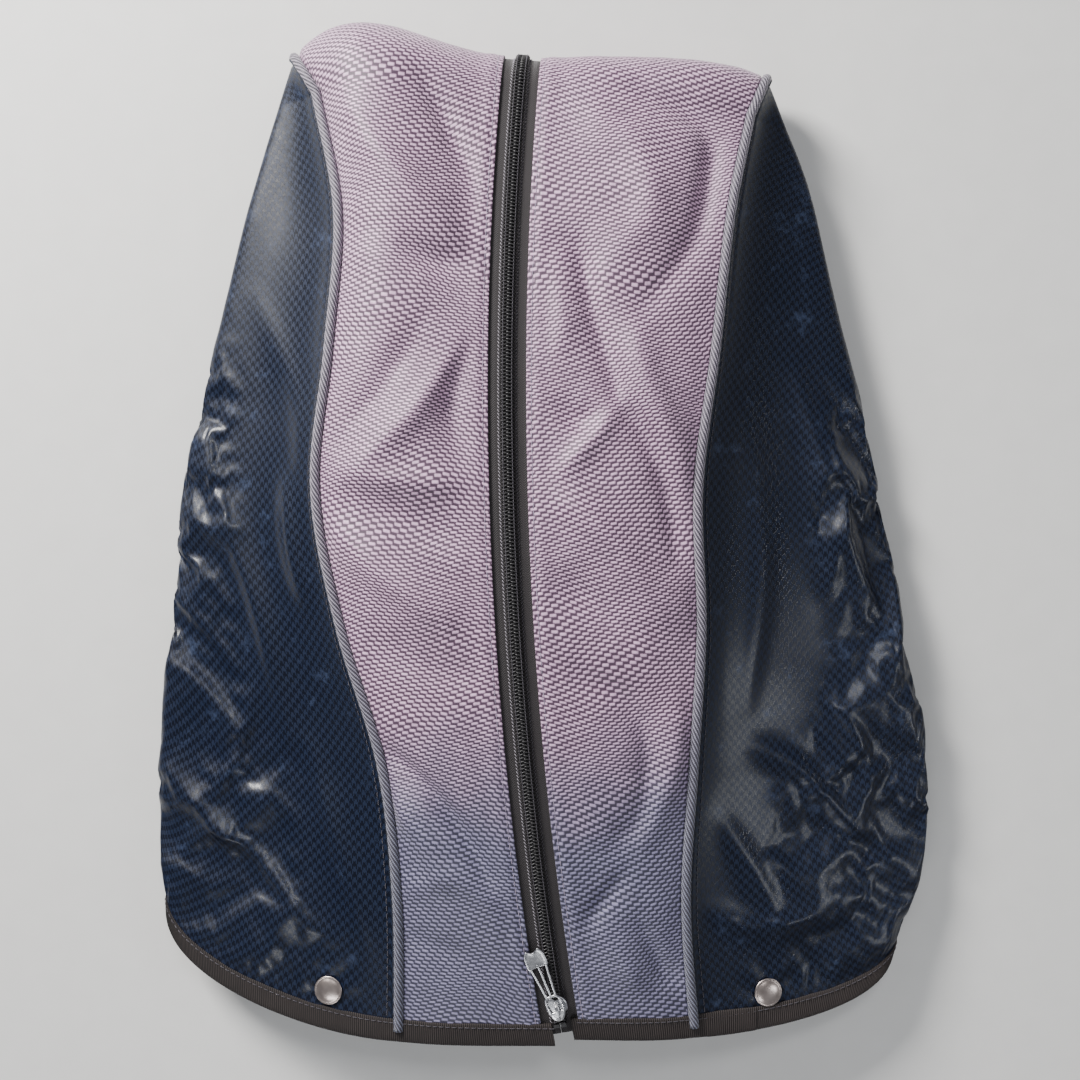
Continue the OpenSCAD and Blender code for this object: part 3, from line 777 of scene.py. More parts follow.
def tuck(edge, leaving, centre, out, count=8):
    """Columns that carry a cloth's edge down beside the piping and under it."""
    aside = edge - centre
    aside = unit(aside - out * (aside * out).sum(-1, keepdims=True))
    flank = centre + aside * 2.3 - out * 0.9
    below = centre + aside * 0.6 - out * 2.9
    ease = np.linspace(0, 1, count)[1:]
    columns = [bezier(edge, edge + leaving * 1.8, flank + out * 1.6 + aside * 0.5, flank, t) for t in ease]
    return np.stack(columns + [mix(flank, below, 0.5) + aside * 0.3, below], 1)


band_seam_gap = 4.6


def line_distance(x, y, points):
    """Distance from each place to a line of points, and how far along it the nearest one is, from 0 to 1."""
    best = np.full(x.shape, 1e9)
    where = np.zeros(x.shape)
    steps = len(points) - 1
    for k in range(steps):
        (ax, ay), (bx, by) = points[k], points[k + 1]
        dx, dy = bx - ax, by - ay
        t = np.clip(((x - ax) * dx + (y - ay) * dy) / (dx * dx + dy * dy), 0, 1)
        d = np.hypot(x - ax - t * dx, y - ay - t * dy)
        where = np.where(d < best, (k + t) / steps, where)
        best = np.minimum(best, d)
    return best, where


# Soft folds of the band: height in millimetres, negative for a valley, then half width and the line
# it follows.
band_folds = {
    LEFT: [
        (-3.4, 8, [(-62, 232), (-48, 206), (-33, 173), (-27, 139)]),
        (3.2, 10, [(-103, 224), (-79, 184), (-53, 152), (-30, 134)]),
        (-2.2, 8, [(-30, 132), (-54, 134), (-74, 140)]),
        (3.2, 8, [(-32, 103), (-51, 74), (-69, 51), (-95, 28)]),
        (-3.4, 7, [(-34, 94), (-45, 64), (-38, 34)]),
        (-2.4, 9, [(-58, 104), (-79, 72), (-102, 44)]),
        (3.0, 8, [(-98, 27), (-70, 23), (-33, 20)]),
        (-2.4, 11, [(-92, 12), (-66, 4), (-36, -6)]),
        (3.4, 10, [(-106, 2), (-85, -18), (-60, -38), (-40, -48)]),
        (-1.8, 10, [(-90, -50), (-66, -66), (-30, -76)]),
        (-4.0, 5, [(-82, -110), (-56, -133), (-40, -154), (-26, -178)]),
        (2.4, 7, [(-84, -126), (-64, -150), (-48, -178)]),
        (1.8, 7, [(-69, -184), (-43, -176), (-17, -195)]),
        (-1.6, 8, [(-72, -206), (-48, -214), (-22, -222)]),
    ],
    RIGHT: [
        (-3.8, 8, [(50, 227), (84, 204), (85, 175), (74, 141), (48, 108)]),
        (2.6, 12, [(20, 214), (48, 190), (54, 158), (34, 132)]),
        (-3.6, 7, [(-2, 145), (17, 141), (25, 108), (35, 77), (38, 60)]),
        (2.8, 8, [(4, 128), (8, 104), (6, 84)]),
        (3.2, 9, [(46, 104), (50, 78), (62, 48), (74, 16)]),
        (-3.2, 6, [(37, 66), (50, 48), (62, 20), (67, -16)]),
        (2.6, 6, [(42, 66), (24, 43), (6, 26)]),
        (-2.6, 7, [(4, 66), (16, 54), (26, 58)]),
        (3.2, 9, [(-8, 22), (14, 10), (35, -8), (52, -28), (72, -44)]),
        (-2.2, 9, [(-6, -18), (18, -32), (42, -54)]),
        (-3.4, 8, [(9, -68), (30, -79), (51, -100), (51, -141), (36, -158)]),
        (2.6, 8, [(66, -90), (64, -122), (50, -158)]),
        (-2.6, 6, [(42, -174), (30, -188), (18, -202)]),
        (-2.8, 6, [(48, -200), (60, -222), (72, -244)]),
        (1.8, 8, [(34, -206), (44, -222), (52, -240)]),
    ],
}


def fold_height(folds, x, y, sharp):
    """The summed height of some folds. A higher sharp gives a narrower crest."""
    height = np.zeros(x.shape)
    for most, wide, points in folds:
        dense = spline(np.array(points, float), np.linspace(0, 1, 14))
        d, t = line_distance(x, y, dense)
        taper = np.sin(np.pi * np.clip(t * 0.86 + 0.07, 0, 1)) ** 0.7
        height += most * taper / (1 + (d / wide) ** 2) ** sharp
    return height


def band_wrinkles(side, p, w, s):
    """Unevenness of the band, in millimetres outward. It fades at the zip and the seam."""
    x, y = p[..., 0], p[..., 1]
    fade = smooth_step(s, 0.02, 0.3) * smooth_step(1 - s, 0.0, 0.12)
    front = (1 - smooth_step(w, 1.25, 1.6)) * smooth_step(y, 22 - half_length, 38 - half_length)
    folds = fold_height(band_folds[side], x, y, 1.3)
    slow = noise(x / 46 + 3.1, y / 38, 11 + side)
    brisk = noise(x / 17 + y / 40, y / 13, 23 + side)
    fine = noise(x / 8, y / 7, 29 + side)
    beside_zip = np.exp(-s * 6) * noise(y / 9, s * 3, 37 + side)
    return fade * ((1.6 * folds + 0.4 * brisk + 0.12 * fine + 0.5 * beside_zip) * front + 0.6 * slow)


def band_panel(side):
    """Half of the band: turned under at the zip, tucked beside the piping at its seam."""
    w = band_stations()
    across = np.linalg.norm(band_skin(side, 1.0, w) - band_skin(side, 0.0, w), axis=-1)
    s = np.linspace(0, 1, 64)[None, :] * (1 - band_seam_gap / across)[:, None]
    p = band_skin(side, s, w[:, None])
    n = grid_normal(p, side)
    reach = s * across[:, None]
    puff = 0.5 * np.exp(-(((reach - 5.5) / 3.5) ** 2)) - 0.5 * np.exp(-((reach - 2.6) ** 2))
    p = p + n * (band_wrinkles(side, p, w[:, None], s) + puff)[..., None]
    leaving = unit(p[:, -1] - p[:, -3])
    q_line = band_seam(side, w) + band_out(w) * mix(piping_proud, -piping_r, np.clip(w - 1, 0, 1))[..., None]
    seam_side = tuck(p[:, -1], leaving, q_line, band_out(w))
    way = unit(p[:, 2] - p[:, 0])
    curl = [(9.0, 1.5), (5.0, 1.45), (1.2, 1.35), (0.35, 1.15), (0.0, 0.7), (0.12, 0.25), (0.45, 0.03)]
    under = turned_edge(p[:, 0], n[:, 0], way, curl)
    p = np.concatenate([under, p[:, 1:], seam_side], axis=1)
    name = side_name[side]
    piece = grid_piece(f"front_{name}_cloth", p, [band_cloth, inner_cloth], flip=side < 0)
    thicken(piece, 0.45, 1)
    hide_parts(f"front_{name}_panel")
    return piece


def back_panel():
    """The back of the hood, flat on the floor between the two piped seams."""
    rows, cols = 150, 80
    i = np.linspace(0, 1, rows)[:, None]
    across = np.linspace(0, 1, cols)[None, :]
    ends = []
    for side in SIDES:
        q = mix(run_end(side), 2 - hem_start(), i[:, 0])
        ends.append(seam(side, q) * [1, 1, 0])
    p = mix(ends[0][:, None], ends[1][:, None], across[..., None])
    inside = np.minimum(across, 1 - across) * 200
    lift = 0.35 + 0.5 * np.maximum(0, noise(p[..., 0] / 40, p[..., 1] / 50, 5)) * smooth_step(inside, 2, 20)
    p[..., 2] = lift + 1.2 * np.exp(-((inside / 2.5) ** 2))
    piece = grid_piece("back_cloth", p, [band_cloth, inner_cloth])
    thicken(piece, 0.6, 1)
    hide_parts("back_panel")
    return piece


# Crumpled folds on the side panels: height and width in millimetres, then the points that the fold
# runs through.
side_folds = {
    LEFT: [
        (5.0, 7, [(-178, 52), (-163, 0), (-146, -48), (-132, -108)]),
        (3.5, 6, [(-132, 22), (-128, -10), (-122, -38)]),
        (4.0, 6, [(-196, -130), (-176, -150), (-150, -170), (-120, -206)]),
        (3.0, 5, [(-188, -168), (-172, -158), (-158, -166)]),
        (3.0, 6, [(-120, -112), (-106, -160), (-84, -222)]),
        (2.5, 5, [(-150, -80), (-160, -120), (-172, -140)]),
        (1.4, 8, [(-150, 120), (-128, 70), (-118, 10)]),
    ],
    RIGHT: [
        (4.5, 7, [(132, 80), (146, 30), (160, -10), (168, -48)]),
        (3.5, 6, [(146, 58), (158, 14), (150, -30)]),
        (4.0, 6, [(110, -112), (136, -128), (166, -160)]),
        (3.5, 6, [(158, -96), (172, -128), (160, -168)]),
        (3.0, 6, [(92, -150), (108, -176), (128, -214)]),
        (2.5, 5, [(84, -196), (110, -206), (140, -200)]),
        (3.0, 8, [(106, 60), (112, -20), (104, -90)]),
    ],
}


def crumple_share(side, s, f):
    """How crumpled a side panel is: taut beside the piping and slack towards its fold and its hem."""
    taut = mix(0.1, 0.36, smooth_step(f, 0.15, 0.42)) + 0.09 * noise(f * 9, s * 4, 97 + side)
    slack = smooth_step(s, taut, taut + 0.42)
    return slack * (1 - 0.95 * smooth_step(f, 0.5, 0.74))


def side_wrinkles(side, p, s, f):
    """Folds and crumples of a side panel, in millimetres outward. They fade at its seams."""
    x, y = p[..., 0], p[..., 1]
    folds = fold_height(side_folds[side], x, y, 1.1)
    ridged = 1 - 2 * np.abs(noise(x / 34 + y / 90, y / 46, 41 + side))
    small = 1 - 2 * np.abs(noise(x / 15, y / 19 + x / 40, 53 + side))
    slow = noise(x / 60, y / 70, 61 + side)
    share = crumple_share(side, s, f)
    height = folds + 1.4 * slow * smooth_step(s, 0.1, 0.5) + share * (1.3 * ridged + 0.5 * small)
    fade = (1 - smooth_step(s, 1.15, 1.5)) + 0.1
    fade = fade * smooth_step(s, 0.02, 0.14) * smooth_step(2 - s, 0.02, 0.1)
    ends = smooth_step(f, bound, bound + 0.05) * smooth_step(1 - f, 0.0, 0.12)
    return height * fade * ends


def crinkles(side, p, s, f):
    """The coat's fine sharp creases, in millimetres outward."""
    x, y = p[..., 0], p[..., 1]
    bend = 5 * noise(x / 25, y / 25, 81 + side)
    sharp = 1 - 2.4 * np.abs(noise((x + bend) / 11, (y - bend) / 14, 83 + side))
    finer = 1 - 2.4 * np.abs(noise((x - bend) / 6, (y + bend) / 7, 87 + side))
    patch = smooth_step(noise(x / 38, y / 44, 89 + side), -0.1, 0.6)
    share = crumple_share(side, s, f) * patch * (1 - smooth_step(s, 1.1, 1.4))
    return share * smooth_step(f, bound, bound + 0.04) * (0.26 * sharp + 0.09 * finer)


def settle(p, weight, swell, frames, cap):
    """Lets a sheet of cloth buckle between its held seams by growing a little, and gives its new points."""
    rows, cols = p.shape[:2]
    mesh = bpy.data.meshes.new("loose_cloth")
    mesh.from_pydata((p.reshape(-1, 3) * MM).tolist(), [], grid_faces(rows, cols, False, False).tolist())
    cloth = linked("loose_cloth", mesh)
    group = cloth.vertex_groups.new(name="held")
    levels = np.round(weight.ravel(), 1)
    for level in np.unique(levels[levels > 0]):
        group.add([int(i) for i in np.flatnonzero(levels == level)], float(level), "REPLACE")
    solver = cloth.modifiers.new("settle", "CLOTH")
    rules = solver.settings
    rules.quality = 5
    rules.mass = 0.15
    rules.air_damping = 2.0
    rules.tension_stiffness = 25
    rules.compression_stiffness = 25
    rules.shear_stiffness = 10
    rules.bending_stiffness = 2.0
    rules.pin_stiffness = 3.0
    rules.shrink_min = -swell
    rules.shrink_max = -swell
    rules.vertex_group_mass = "held"
    rules.effector_weights.gravity = 0
    solver.collision_settings.use_collision = False
    solver.collision_settings.use_self_collision = False
    solver.point_cache.frame_start = 1
    solver.point_cache.frame_end = frames
    for step in range(1, frames + 1):
        scene.frame_set(step)
    shown = cloth.evaluated_get(bpy.context.evaluated_depsgraph_get())
    moved = np.zeros(rows * cols * 3)
    shown.data.vertices.foreach_get("co", moved)
    bpy.data.objects.remove(cloth)
    scene.frame_set(1)
    shift = moved.reshape(rows, cols, 3) / MM - p
    size = np.maximum(np.linalg.norm(shift, axis=-1, keepdims=True), 1e-9)
    return p + shift * (cap * np.tanh(size / cap) / size)


def refined(p, times):
    """A finer grid of points through the same smooth surface."""
    for _ in range(2):
        rows, cols, parts = p.shape
        at = np.linspace(0, 1, (rows - 1) * times + 1)
        p = spline(p.reshape(rows, cols * parts), at).reshape(len(at), cols, parts).transpose(1, 0, 2)
    return p


side_seam_gap = 4.4


def side_panel(side):
    """A side panel: tucked beside the piping, crumpled, folded at the side and flat underneath."""
    rows, cols = 130, 100
    f = np.concatenate([np.linspace(hem_start(), 0.9, rows - 34), np.linspace(0.9, 0.992, 35)[1:]])
    near = np.linalg.norm(side_skin(side, 0.08, f) - side_skin(side, 0.0, f), axis=-1)
    first = np.minimum(0.08 * side_seam_gap / near, 0.5)
    s_grid = mix(first[:, None], 2.0, np.linspace(0, 1, cols)[None, :])
    f_grid = f[:, None] + 0 * s_grid
    p = side_skin(side, s_grid, f_grid)
    n = grid_normal(p, side)
    n[:, -1] = n[:, -2]
    height = side_wrinkles(side, p, s_grid, f_grid)
    from_seam = np.linalg.norm(p - side_skin(side, 0.0, f)[:, None], axis=-1)
    height = height - 0.45 * np.exp(-(((from_seam - 6.2) / 0.8) ** 2))
    centre = side_skin(side, *snap_place[side])
    away = np.linalg.norm(p - centre, axis=-1)
    turn = np.arctan2(p[..., 1] - centre[1], p[..., 0] - centre[0])
    ripple = np.cos(5 * turn + side) * np.exp(-(((away - 11) / 6) ** 2))
    height = height * smooth_step(away, 6, 22) - 0.5 * np.exp(-((away / 9) ** 2)) + 0.7 * ripple
    p = p + n * height[..., None]
    p[..., 2] = np.maximum(p[..., 2], 0.35)
    leaving = unit(p[:, 0] - p[:, 2])
    out = vec(0 * f, 0 * f, 1 + 0 * f)
    tucked = tuck(p[:, 0], leaving, seam(side, f), out)[:, ::-1]
    extra = tucked.shape[1]
    p = np.concatenate([tucked, p], axis=1)
    s_grid = np.concatenate([np.repeat(s_grid[:, :1] * 0, extra, 1), s_grid], axis=1)
    f_grid = np.concatenate([np.repeat(f_grid[:, :1], extra, 1), f_grid], axis=1)
    away = np.concatenate([np.repeat(away[:, :1], extra, 1), away], axis=1)
    slack = crumple_share(side, s_grid, f_grid)
    held = np.where(slack < 0.05, 1.0, np.where(slack < 0.35, 0.2, 0.0))
    held[:3] = held[-6:] = 1
    held[:, :extra + 5] = held[:, -4:] = 1
    held[away < 11] = 1
    buckled = settle(p, held, 0.022, 22, 4.5)
    p = p + (buckled - p) * smooth_step(slack, 0.08, 0.6)[..., None]
    whole = refined(np.concatenate([p, s_grid[..., None], f_grid[..., None]], axis=-1), 2)
    p, s_grid, f_grid = whole[..., :3], whole[..., 3], whole[..., 4]
    calm = smooth_step(np.linalg.norm(p - centre, axis=-1), 7, 18)
    p = p + grid_normal(p, side) * (crinkles(side, p, s_grid, f_grid) * calm)[..., None]
    p[..., 2] = np.maximum(p[..., 2], 0.3)
    name = side_name[side]
    piece = grid_piece(f"{name}_side_cloth", p, [side_cloth, inner_cloth], flip=side < 0)
    thicken(piece, cloth_t, 1)
    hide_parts(f"{name}_side_panel")
    return piece


# ---- Snaps ----

snap_place = {LEFT: (0.22, 0.039), RIGHT: (0.265, 0.036)}


def snap_axes(side):
    """The snap's centre on the cloth, and its x, y and outward axes."""
    s, f = snap_place[side]
    e = 0.002
    du = side_skin(side, s + e, f) - side_skin(side, s - e, f)
    dt = side_skin(side, s, f + e) - side_skin(side, s, f - e)
    out = unit(np.cross(du, dt)) * side
    x = unit(np.cross([0, 1, 0], out))
    return side_skin(side, s, f), np.stack([x, np.cross(out, x), out])


def lathe(name, outline, segments, centre, axes, material, body="root"):
    """Turns an outline of (radius, height) pairs about the last of the axes."""
    outline = np.array(outline, float)
    turn = np.arange(segments) * 2 * np.pi / segments
    ring = np.stack([np.cos(turn), np.sin(turn)], -1)
    across = outline[:, None, :1] * ring[None]
    along = np.repeat(outline[:, None, 1:], segments, 1)
    local = np.concatenate([across, along], -1)
    p = centre + local @ axes
    return grid_piece(name, p, [material], closed=True, body=body)


def snap_cap(side):
    """A press stud's domed cap with a rolled rim."""
    centre, axes = snap_axes(side)
    r = cap_d / 2
    base = 0.25
    outline = [(0.05, 0), (r * 0.85, 0), (r * 0.96, 0.1), (r, 0.45), (r * 0.985, 0.85), (r * 0.94, 1.06),
               (r * 0.89, 1.0), (r * 0.86, 0.92), (r * 0.82, 1.0), (r * 0.7, 1.45), (r * 0.5, 1.95),
               (r * 0.25, 2.2), (0.05, 2.26)]
    outline = [(a, b + base) for a, b in outline]
    name = side_name[side]
    piece = lathe(f"{name}_snap_dome", outline, 64, centre, axes, cap_metal)
    smooth = piece.modifiers.new("smooth", "SUBSURF")
    smooth.levels = smooth.render_levels = 1
    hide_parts(f"{name}_snap_cap")


# ---- Piping, tapes and the hem's ribbon ----

def seam_stations(step):
    """Places along a seam, just inside the hem's ribbon at both ends."""
    return np.linspace(bound * 0.5, 2 - bound * 0.6, 1500)[::step]


def seam_axes(line):
    """Directions along a seam, across it and into the hood's thickness."""
    along = unit(np.gradient(line, axis=0))
    across = unit(np.array([1.0, 0, 0]) - along * along[:, :1])
    return along, across, np.cross(along, across)


def piping(side):
    """The piping's cover, ribbed on the slant, from hem to hem over the crown."""
    line = seam(side, seam_stations(3))
    along, across, into = seam_axes(line)
    sides = 20
    turn = np.arange(sides) * 2 * np.pi / sides
    length = run_lengths(line)
    rib = 0.13 * np.cos(2 * np.pi * (length[:, None] / 3.1 + side * turn[None] * piping_r * 1.7 / 3.1))
    radius = piping_r - 0.1 + rib
    ring = across[:, None] * np.cos(turn)[None, :, None] + into[:, None] * np.sin(turn)[None, :, None]
    p = line[:, None] + ring * radius[..., None]
    p[..., 2] = np.maximum(p[..., 2], 0.15)
    name = side_name[side]
    piece = grid_piece(f"{name}_piping_cover", p, [piping_cloth], closed=True, caps=True, flip=True)
    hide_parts(f"{name}_piping")


def inner_tape(name, line, across, out, wide, node):
    """A thin ribbon with soft edges along a line inside the hood."""
    cols = np.linspace(-1, 1, 9)
    edge = 0.35 * np.abs(cols) ** 6
    aside = across[:, None] * (cols * wide / 2)[None, :, None]
    raised = out[:, None] * edge[None, :, None]
    p = line[:, None] + aside + raised
    piece = grid_piece(name, p, [ribbon_cloth])
    thicken(piece, 0.6)
    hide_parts(node)


def seam_tape(side):
    """The tape over a seam's allowances, inside the hood."""
    line = seam(side, seam_stations(6)[3:-3])
    along, across, into = seam_axes(line)
    middle = line - across * side * 5.5 + into * (piping_r + 1.8)
    name = side_name[side]
    inner_tape(f"{name}_seam_ribbon", middle, across, -into, 8.5, f"{name}_seam_tape")


def crown_tape():
    """The tape over the seam behind the crown, inside the hood."""
    x = np.linspace(seam(LEFT, run_end(LEFT))[0] + 4, seam(RIGHT, run_end(RIGHT))[0] - 4, 60)
    line = vec(x, crown_seam_y - 0.5 + 0.3 * noise(x / 20, x * 0, 7), 3.6)
    across = np.zeros_like(line) + [0, 1, 0]
    out = np.zeros_like(line) + [0, 0, 1.0]
    inner_tape("crown_seam_ribbon", line, across, out, 12, "crown_seam_tape")


def hem_line():
    """The hem's edge, the ribbon's inner edge and the outward direction, all the way round from the zip."""
    def section(skin, side, s, width):
        e = 0.004
        du = skin(side, s + e, width) - skin(side, s - e, width)
        dt = skin(side, s, width + e) - skin(side, s, width - e)
        return skin(side, s, 0.0), skin(side, s, width), side * unit(np.cross(du, dt))

    parts = []
    band_s = np.linspace(-0.07, 0.95, 60)
    side_s = np.linspace(0.05, 1.95, 220)
    parts.append(section(band_skin, LEFT, band_s, bound / roll_start))
    parts.append(section(side_skin, LEFT, side_s, bound))
    x = np.linspace(seam(LEFT, 2.0)[0], seam(RIGHT, 2.0)[0], 80)[3:-3]
    y = np.zeros_like(x) + seam(LEFT, 2.0)[1]
    parts.append((vec(x, y, 0.3), vec(x, y + binding_w, 0.3), np.zeros((len(x), 3)) + [0, 0, -1.0]))
    parts.append(section(side_skin, RIGHT, side_s[::-1], bound))
    parts.append(section(band_skin, RIGHT, band_s[::-1], bound / roll_start))
    return [np.concatenate([part[k] for part in parts]) for k in range(3)]


def even(rows, step, soften):
    """Rows of matching points, evenly spaced along the first and softened along their length."""
    length = run_lengths(rows[0])
    coarse = np.arange(0, length[-1], 1.0)
    at = np.arange(0, length[-1], step)
    reach = int(soften)
    weights = np.hanning(2 * reach + 3)[1:-1]
    weights /= weights.sum()
    made = []
    for row in rows:
        columns = []
        for k in range(3):
            value = np.interp(coarse, length, row[:, k])
            longer = np.pad(value, len(weights) // 2, mode="reflect", reflect_type="odd")
            value = np.convolve(longer, weights, "valid")
            columns.append(np.interp(at, coarse, value))
        made.append(np.stack(columns, -1))
    return at, made


def hem_ribbon():
    """Grosgrain folded over the hem, ribbed across, with a lapped join beside the right piping."""
    at, (a, b, out) = even(hem_line(), 0.275, 5)
    inward = unit(b - a)
    out = unit(out - inward * (out * inward).sum(-1, keepdims=True))
    profile = np.array([(12.3, 0.0), (12.25, 0.45), (11.6, 0.72), (9.5, 0.8), (7, 0.86), (4.5, 0.86),
                        (2.4, 0.8), (0.9, 0.55), (0.1, -0.1), (-0.1, -0.9), (0.3, -1.8), (1.6, -2.3),
                        (5, -2.4), (9, -2.35), (11.6, -2.2), (12.1, -1.9), (11.9, -1.3)])
    rib = 0.13 * np.cos(2 * np.pi * at / 1.1)
    wavy = 0.35 * noise(at / 23, at * 0, 71) + 0.2 * noise(at / 9, at * 0, 72)
    total = at[-1]
    lap_from, lap_to = total - 96, total - 70
    lap = smooth_step(at, lap_from, lap_from + 1.2) * (1 - smooth_step(at, lap_to, lap_to + 1.2))
    skewed = smooth_step(at, lap_from - 10, lap_from + 14) * (1 - smooth_step(at, lap_to - 6, lap_to + 12))
    swell = np.where(profile[:, 1] > -0.5, 1.0, -1.0)
    along = profile[None, :, 0] + (wavy + 0.8 * skewed)[:, None] * smooth_step(profile[None, :, 0], 2, 12)
    lift = profile[None, :, 1] + swell[None] * (rib[:, None] + 0.45 * lap[:, None])
    p = a[:, None] + inward[:, None] * along[..., None] + out[:, None] * lift[..., None]
    p[..., 2] = np.maximum(p[..., 2], 0.1)
    around = run_lengths(np.vstack([profile, profile[:1]]))
    uv = np.stack(np.broadcast_arrays(around[None, :], at[:, None]), -1) * MM
    piece = grid_piece("hem_ribbon", p, [ribbon_cloth], closed=True, caps=True, uv=uv)
    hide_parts("hem_binding")
    sewn = a + inward * 10.4 + out * 0.85
    sewn[:, 2] = np.maximum(sewn[:, 2], 1.4)
    stitch_row("hem_stitches", sewn[::6], out[::6], dark_thread, 2.6, 0.7, 0.22, 0.05)


# ---- Zip ----

coil_pitch = 1.8
tape_from = (zip_angle(binding_w * 0.4 - half_length) - hem_angle) / (roll_angle - hem_angle)


def tape(side):
    """One side of the zip's tape, from the hem to behind the crown."""
    behind = [2.5, 2 + crown_run / run_length]
    w = np.concatenate([np.linspace(tape_from, 1, 420), np.linspace(1, 2, 90)[1:], behind])
    aside = np.array([0.12, 0.6, 1.6, 2.4, 3.2, 4.2, 5.5, 7, 9, 11, 13.5, 15.8, 16.6, 17.0])
    swell = np.array([-0.25, 0.0, 0, 0, 0, -0.05, -0.1, -0.1, -0.1, -0.1, -0.1, -0.05, -0.15, -0.35])
    p = zip_line(w[:, None], side * aside[None, :], swell[None, :])
    name = side_name[side]
    piece = grid_piece(f"zip_{name}_ribbon", p, [tape_cloth], flip=side < 0)
    thicken(piece, 0.7)
    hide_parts(f"zip_tape_{name}")


def zip_frames(start_w, end_w, step, offset=0.0):
    """Places at even spacing along the zip, each with its axes across, along and out of the tape."""
    w = np.linspace(start_w, end_w, 3000)
    line = zip_line(w, 0.0, 0.0)
    length = run_lengths(line)
    at = np.arange(offset, length[-1], step)
    w = np.interp(at, length, w)
    origin = zip_line(w, 0.0, 0.0)
    across = unit(zip_line(w, 1.0, 0.0) - origin)
    out = unit(zip_line(w, 0.0, 1.0) - origin)
    return origin, np.stack([across, np.cross(out, across), out], 1)


coil_from = (zip_angle(binding_w - 1 - half_length) - hem_angle) / (roll_angle - hem_angle)
coil_to = 2 + (crown_run - 5) / run_length


def coil(side):
    """One side of the coil: a continuous spiral whose heads lock between those of the other side."""
    half = coil_pitch / 2
    path = np.array([(-3.2, -half, 1.35), (-3.0, -half * 0.86, 1.95), (-2.2, -half * 0.5, 2.2),
                     (-0.6, -half * 0.1, 2.2), (0.3, 0, 2.0), (0.62, 0, 1.4), (0.3, 0, 0.8),
                     (-0.6, half * 0.1, 0.6), (-2.2, half * 0.5, 0.6), (-3.0, half * 0.86, 0.8),
                     (-3.2, half, 1.35)])
    radii = np.array([0.4, 0.4, 0.4, 0.42, 0.5, 0.56, 0.5, 0.42, 0.4, 0.4, 0.4])
    template, faces = tube_template(path, radii, 7)
    template = template * [-side, 1, 1]
    if side > 0:
        faces = [face[::-1] for face in faces]
    origins, axes = zip_frames(coil_from, coil_to, coil_pitch, half / 2 if side > 0 else half / 2 + half)
    name = side_name[side]
    piece = copies(f"zip_{name}_spiral", template, faces, origins, axes, [coil_nylon])
    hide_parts(f"zip_coil_{name}")


def coil_threads(side):
    """The chain stitch that holds a coil to its tape, one loop over each rung."""
    path = [(0, -0.9, 1.9), (0.1, -0.5, 2.55), (0, 0, 2.72), (-0.1, 0.5, 2.55), (0, 0.9, 1.9)]
    template, faces = tube_template(np.array(path), [0.15, 0.19, 0.2, 0.19, 0.15], 5)
    template = template + [side * 2.35, 0, 0]
    origins, axes = zip_frames(coil_from, coil_to, coil_pitch, 0.45 if side > 0 else 1.35)
    copies(f"zip_{side_name[side]}_chain_stitch", template, faces, origins, axes, [dark_thread])


def edge_threads():
    """The lighter zig-zag that shows beside the coil."""
    lean = 0.55
    path = [(-lean, -0.8, 0.1), (-lean * 0.4, -0.4, 0.35), (lean * 0.4, 0.4, 0.35), (lean, 0.8, 0.1)]
    template, faces = tube_template(np.array(path), [0.14, 0.17, 0.17, 0.14], 5)
    for side in SIDES:
        origins, axes = zip_frames(coil_from, coil_to, coil_pitch, 0.6)
        moved = template * [side, 1, 1] + [side * 4.3, 0, 0]
        turned_faces = faces if side > 0 else [face[::-1] for face in faces]
        copies(f"zip_{side_name[side]}_edge_stitch", moved, turned_faces, origins, axes,
               [light_thread if side < 0 else dark_thread])


# ---- Slider and pull ----

slider_l = 13.4
slider_floor = coil_h + 0.35
tape_room = 0.8 + 0.35  # the tape and the gap under it
slider_top = slider_floor + 1.3
slider_angle = zip_angle(12.8 + slider_l / 2 - half_length)
bar_y = -0.8
bar_up = slider_top + 0.95


def slider_axes():
    """The slider's place on the zip, and its axes across, along and out."""
    origin = zip_point(slider_angle, 0, 0)
    across = unit(zip_point(slider_angle, 1, 0) - origin)
    out = unit(zip_point(slider_angle, 0, 1) - origin)
    return origin, np.stack([across, np.cross(out, across), out])


def outline_plate(outline, levels):
    """A closed plate from an outline and (scale, height) levels, from its underside to its top."""
    outline = np.array(outline, float)
    middle = outline.mean(axis=0)
    rings = [np.column_stack([middle + (outline - middle) * scale, np.full(len(outline), z)])
             for scale, z in levels]
    return np.concatenate(rings), closed_tube_faces(len(levels), len(outline))


def mirrored(half):
    """A whole outline from its right half, which runs from the bottom to the top."""
    half = np.array(half, float)
    other = half[::-1] * [-1, 1]
    keep = np.abs(other[:, 0]) > 1e-6
    return np.concatenate([half, other[keep]])


def rounded(points, rounds=2):
    """Cuts the corners of a closed outline, again and again."""
    points = np.asarray(points, float)
    for _ in range(rounds):
        after = np.roll(points, -1, axis=0)
        points = np.stack([mix(points, after, 0.25), mix(points, after, 0.75)], 1).reshape(-1, 2)
    return points


def bar(path, radius):
    return tube_template(path, np.full(len(path), radius), 10)


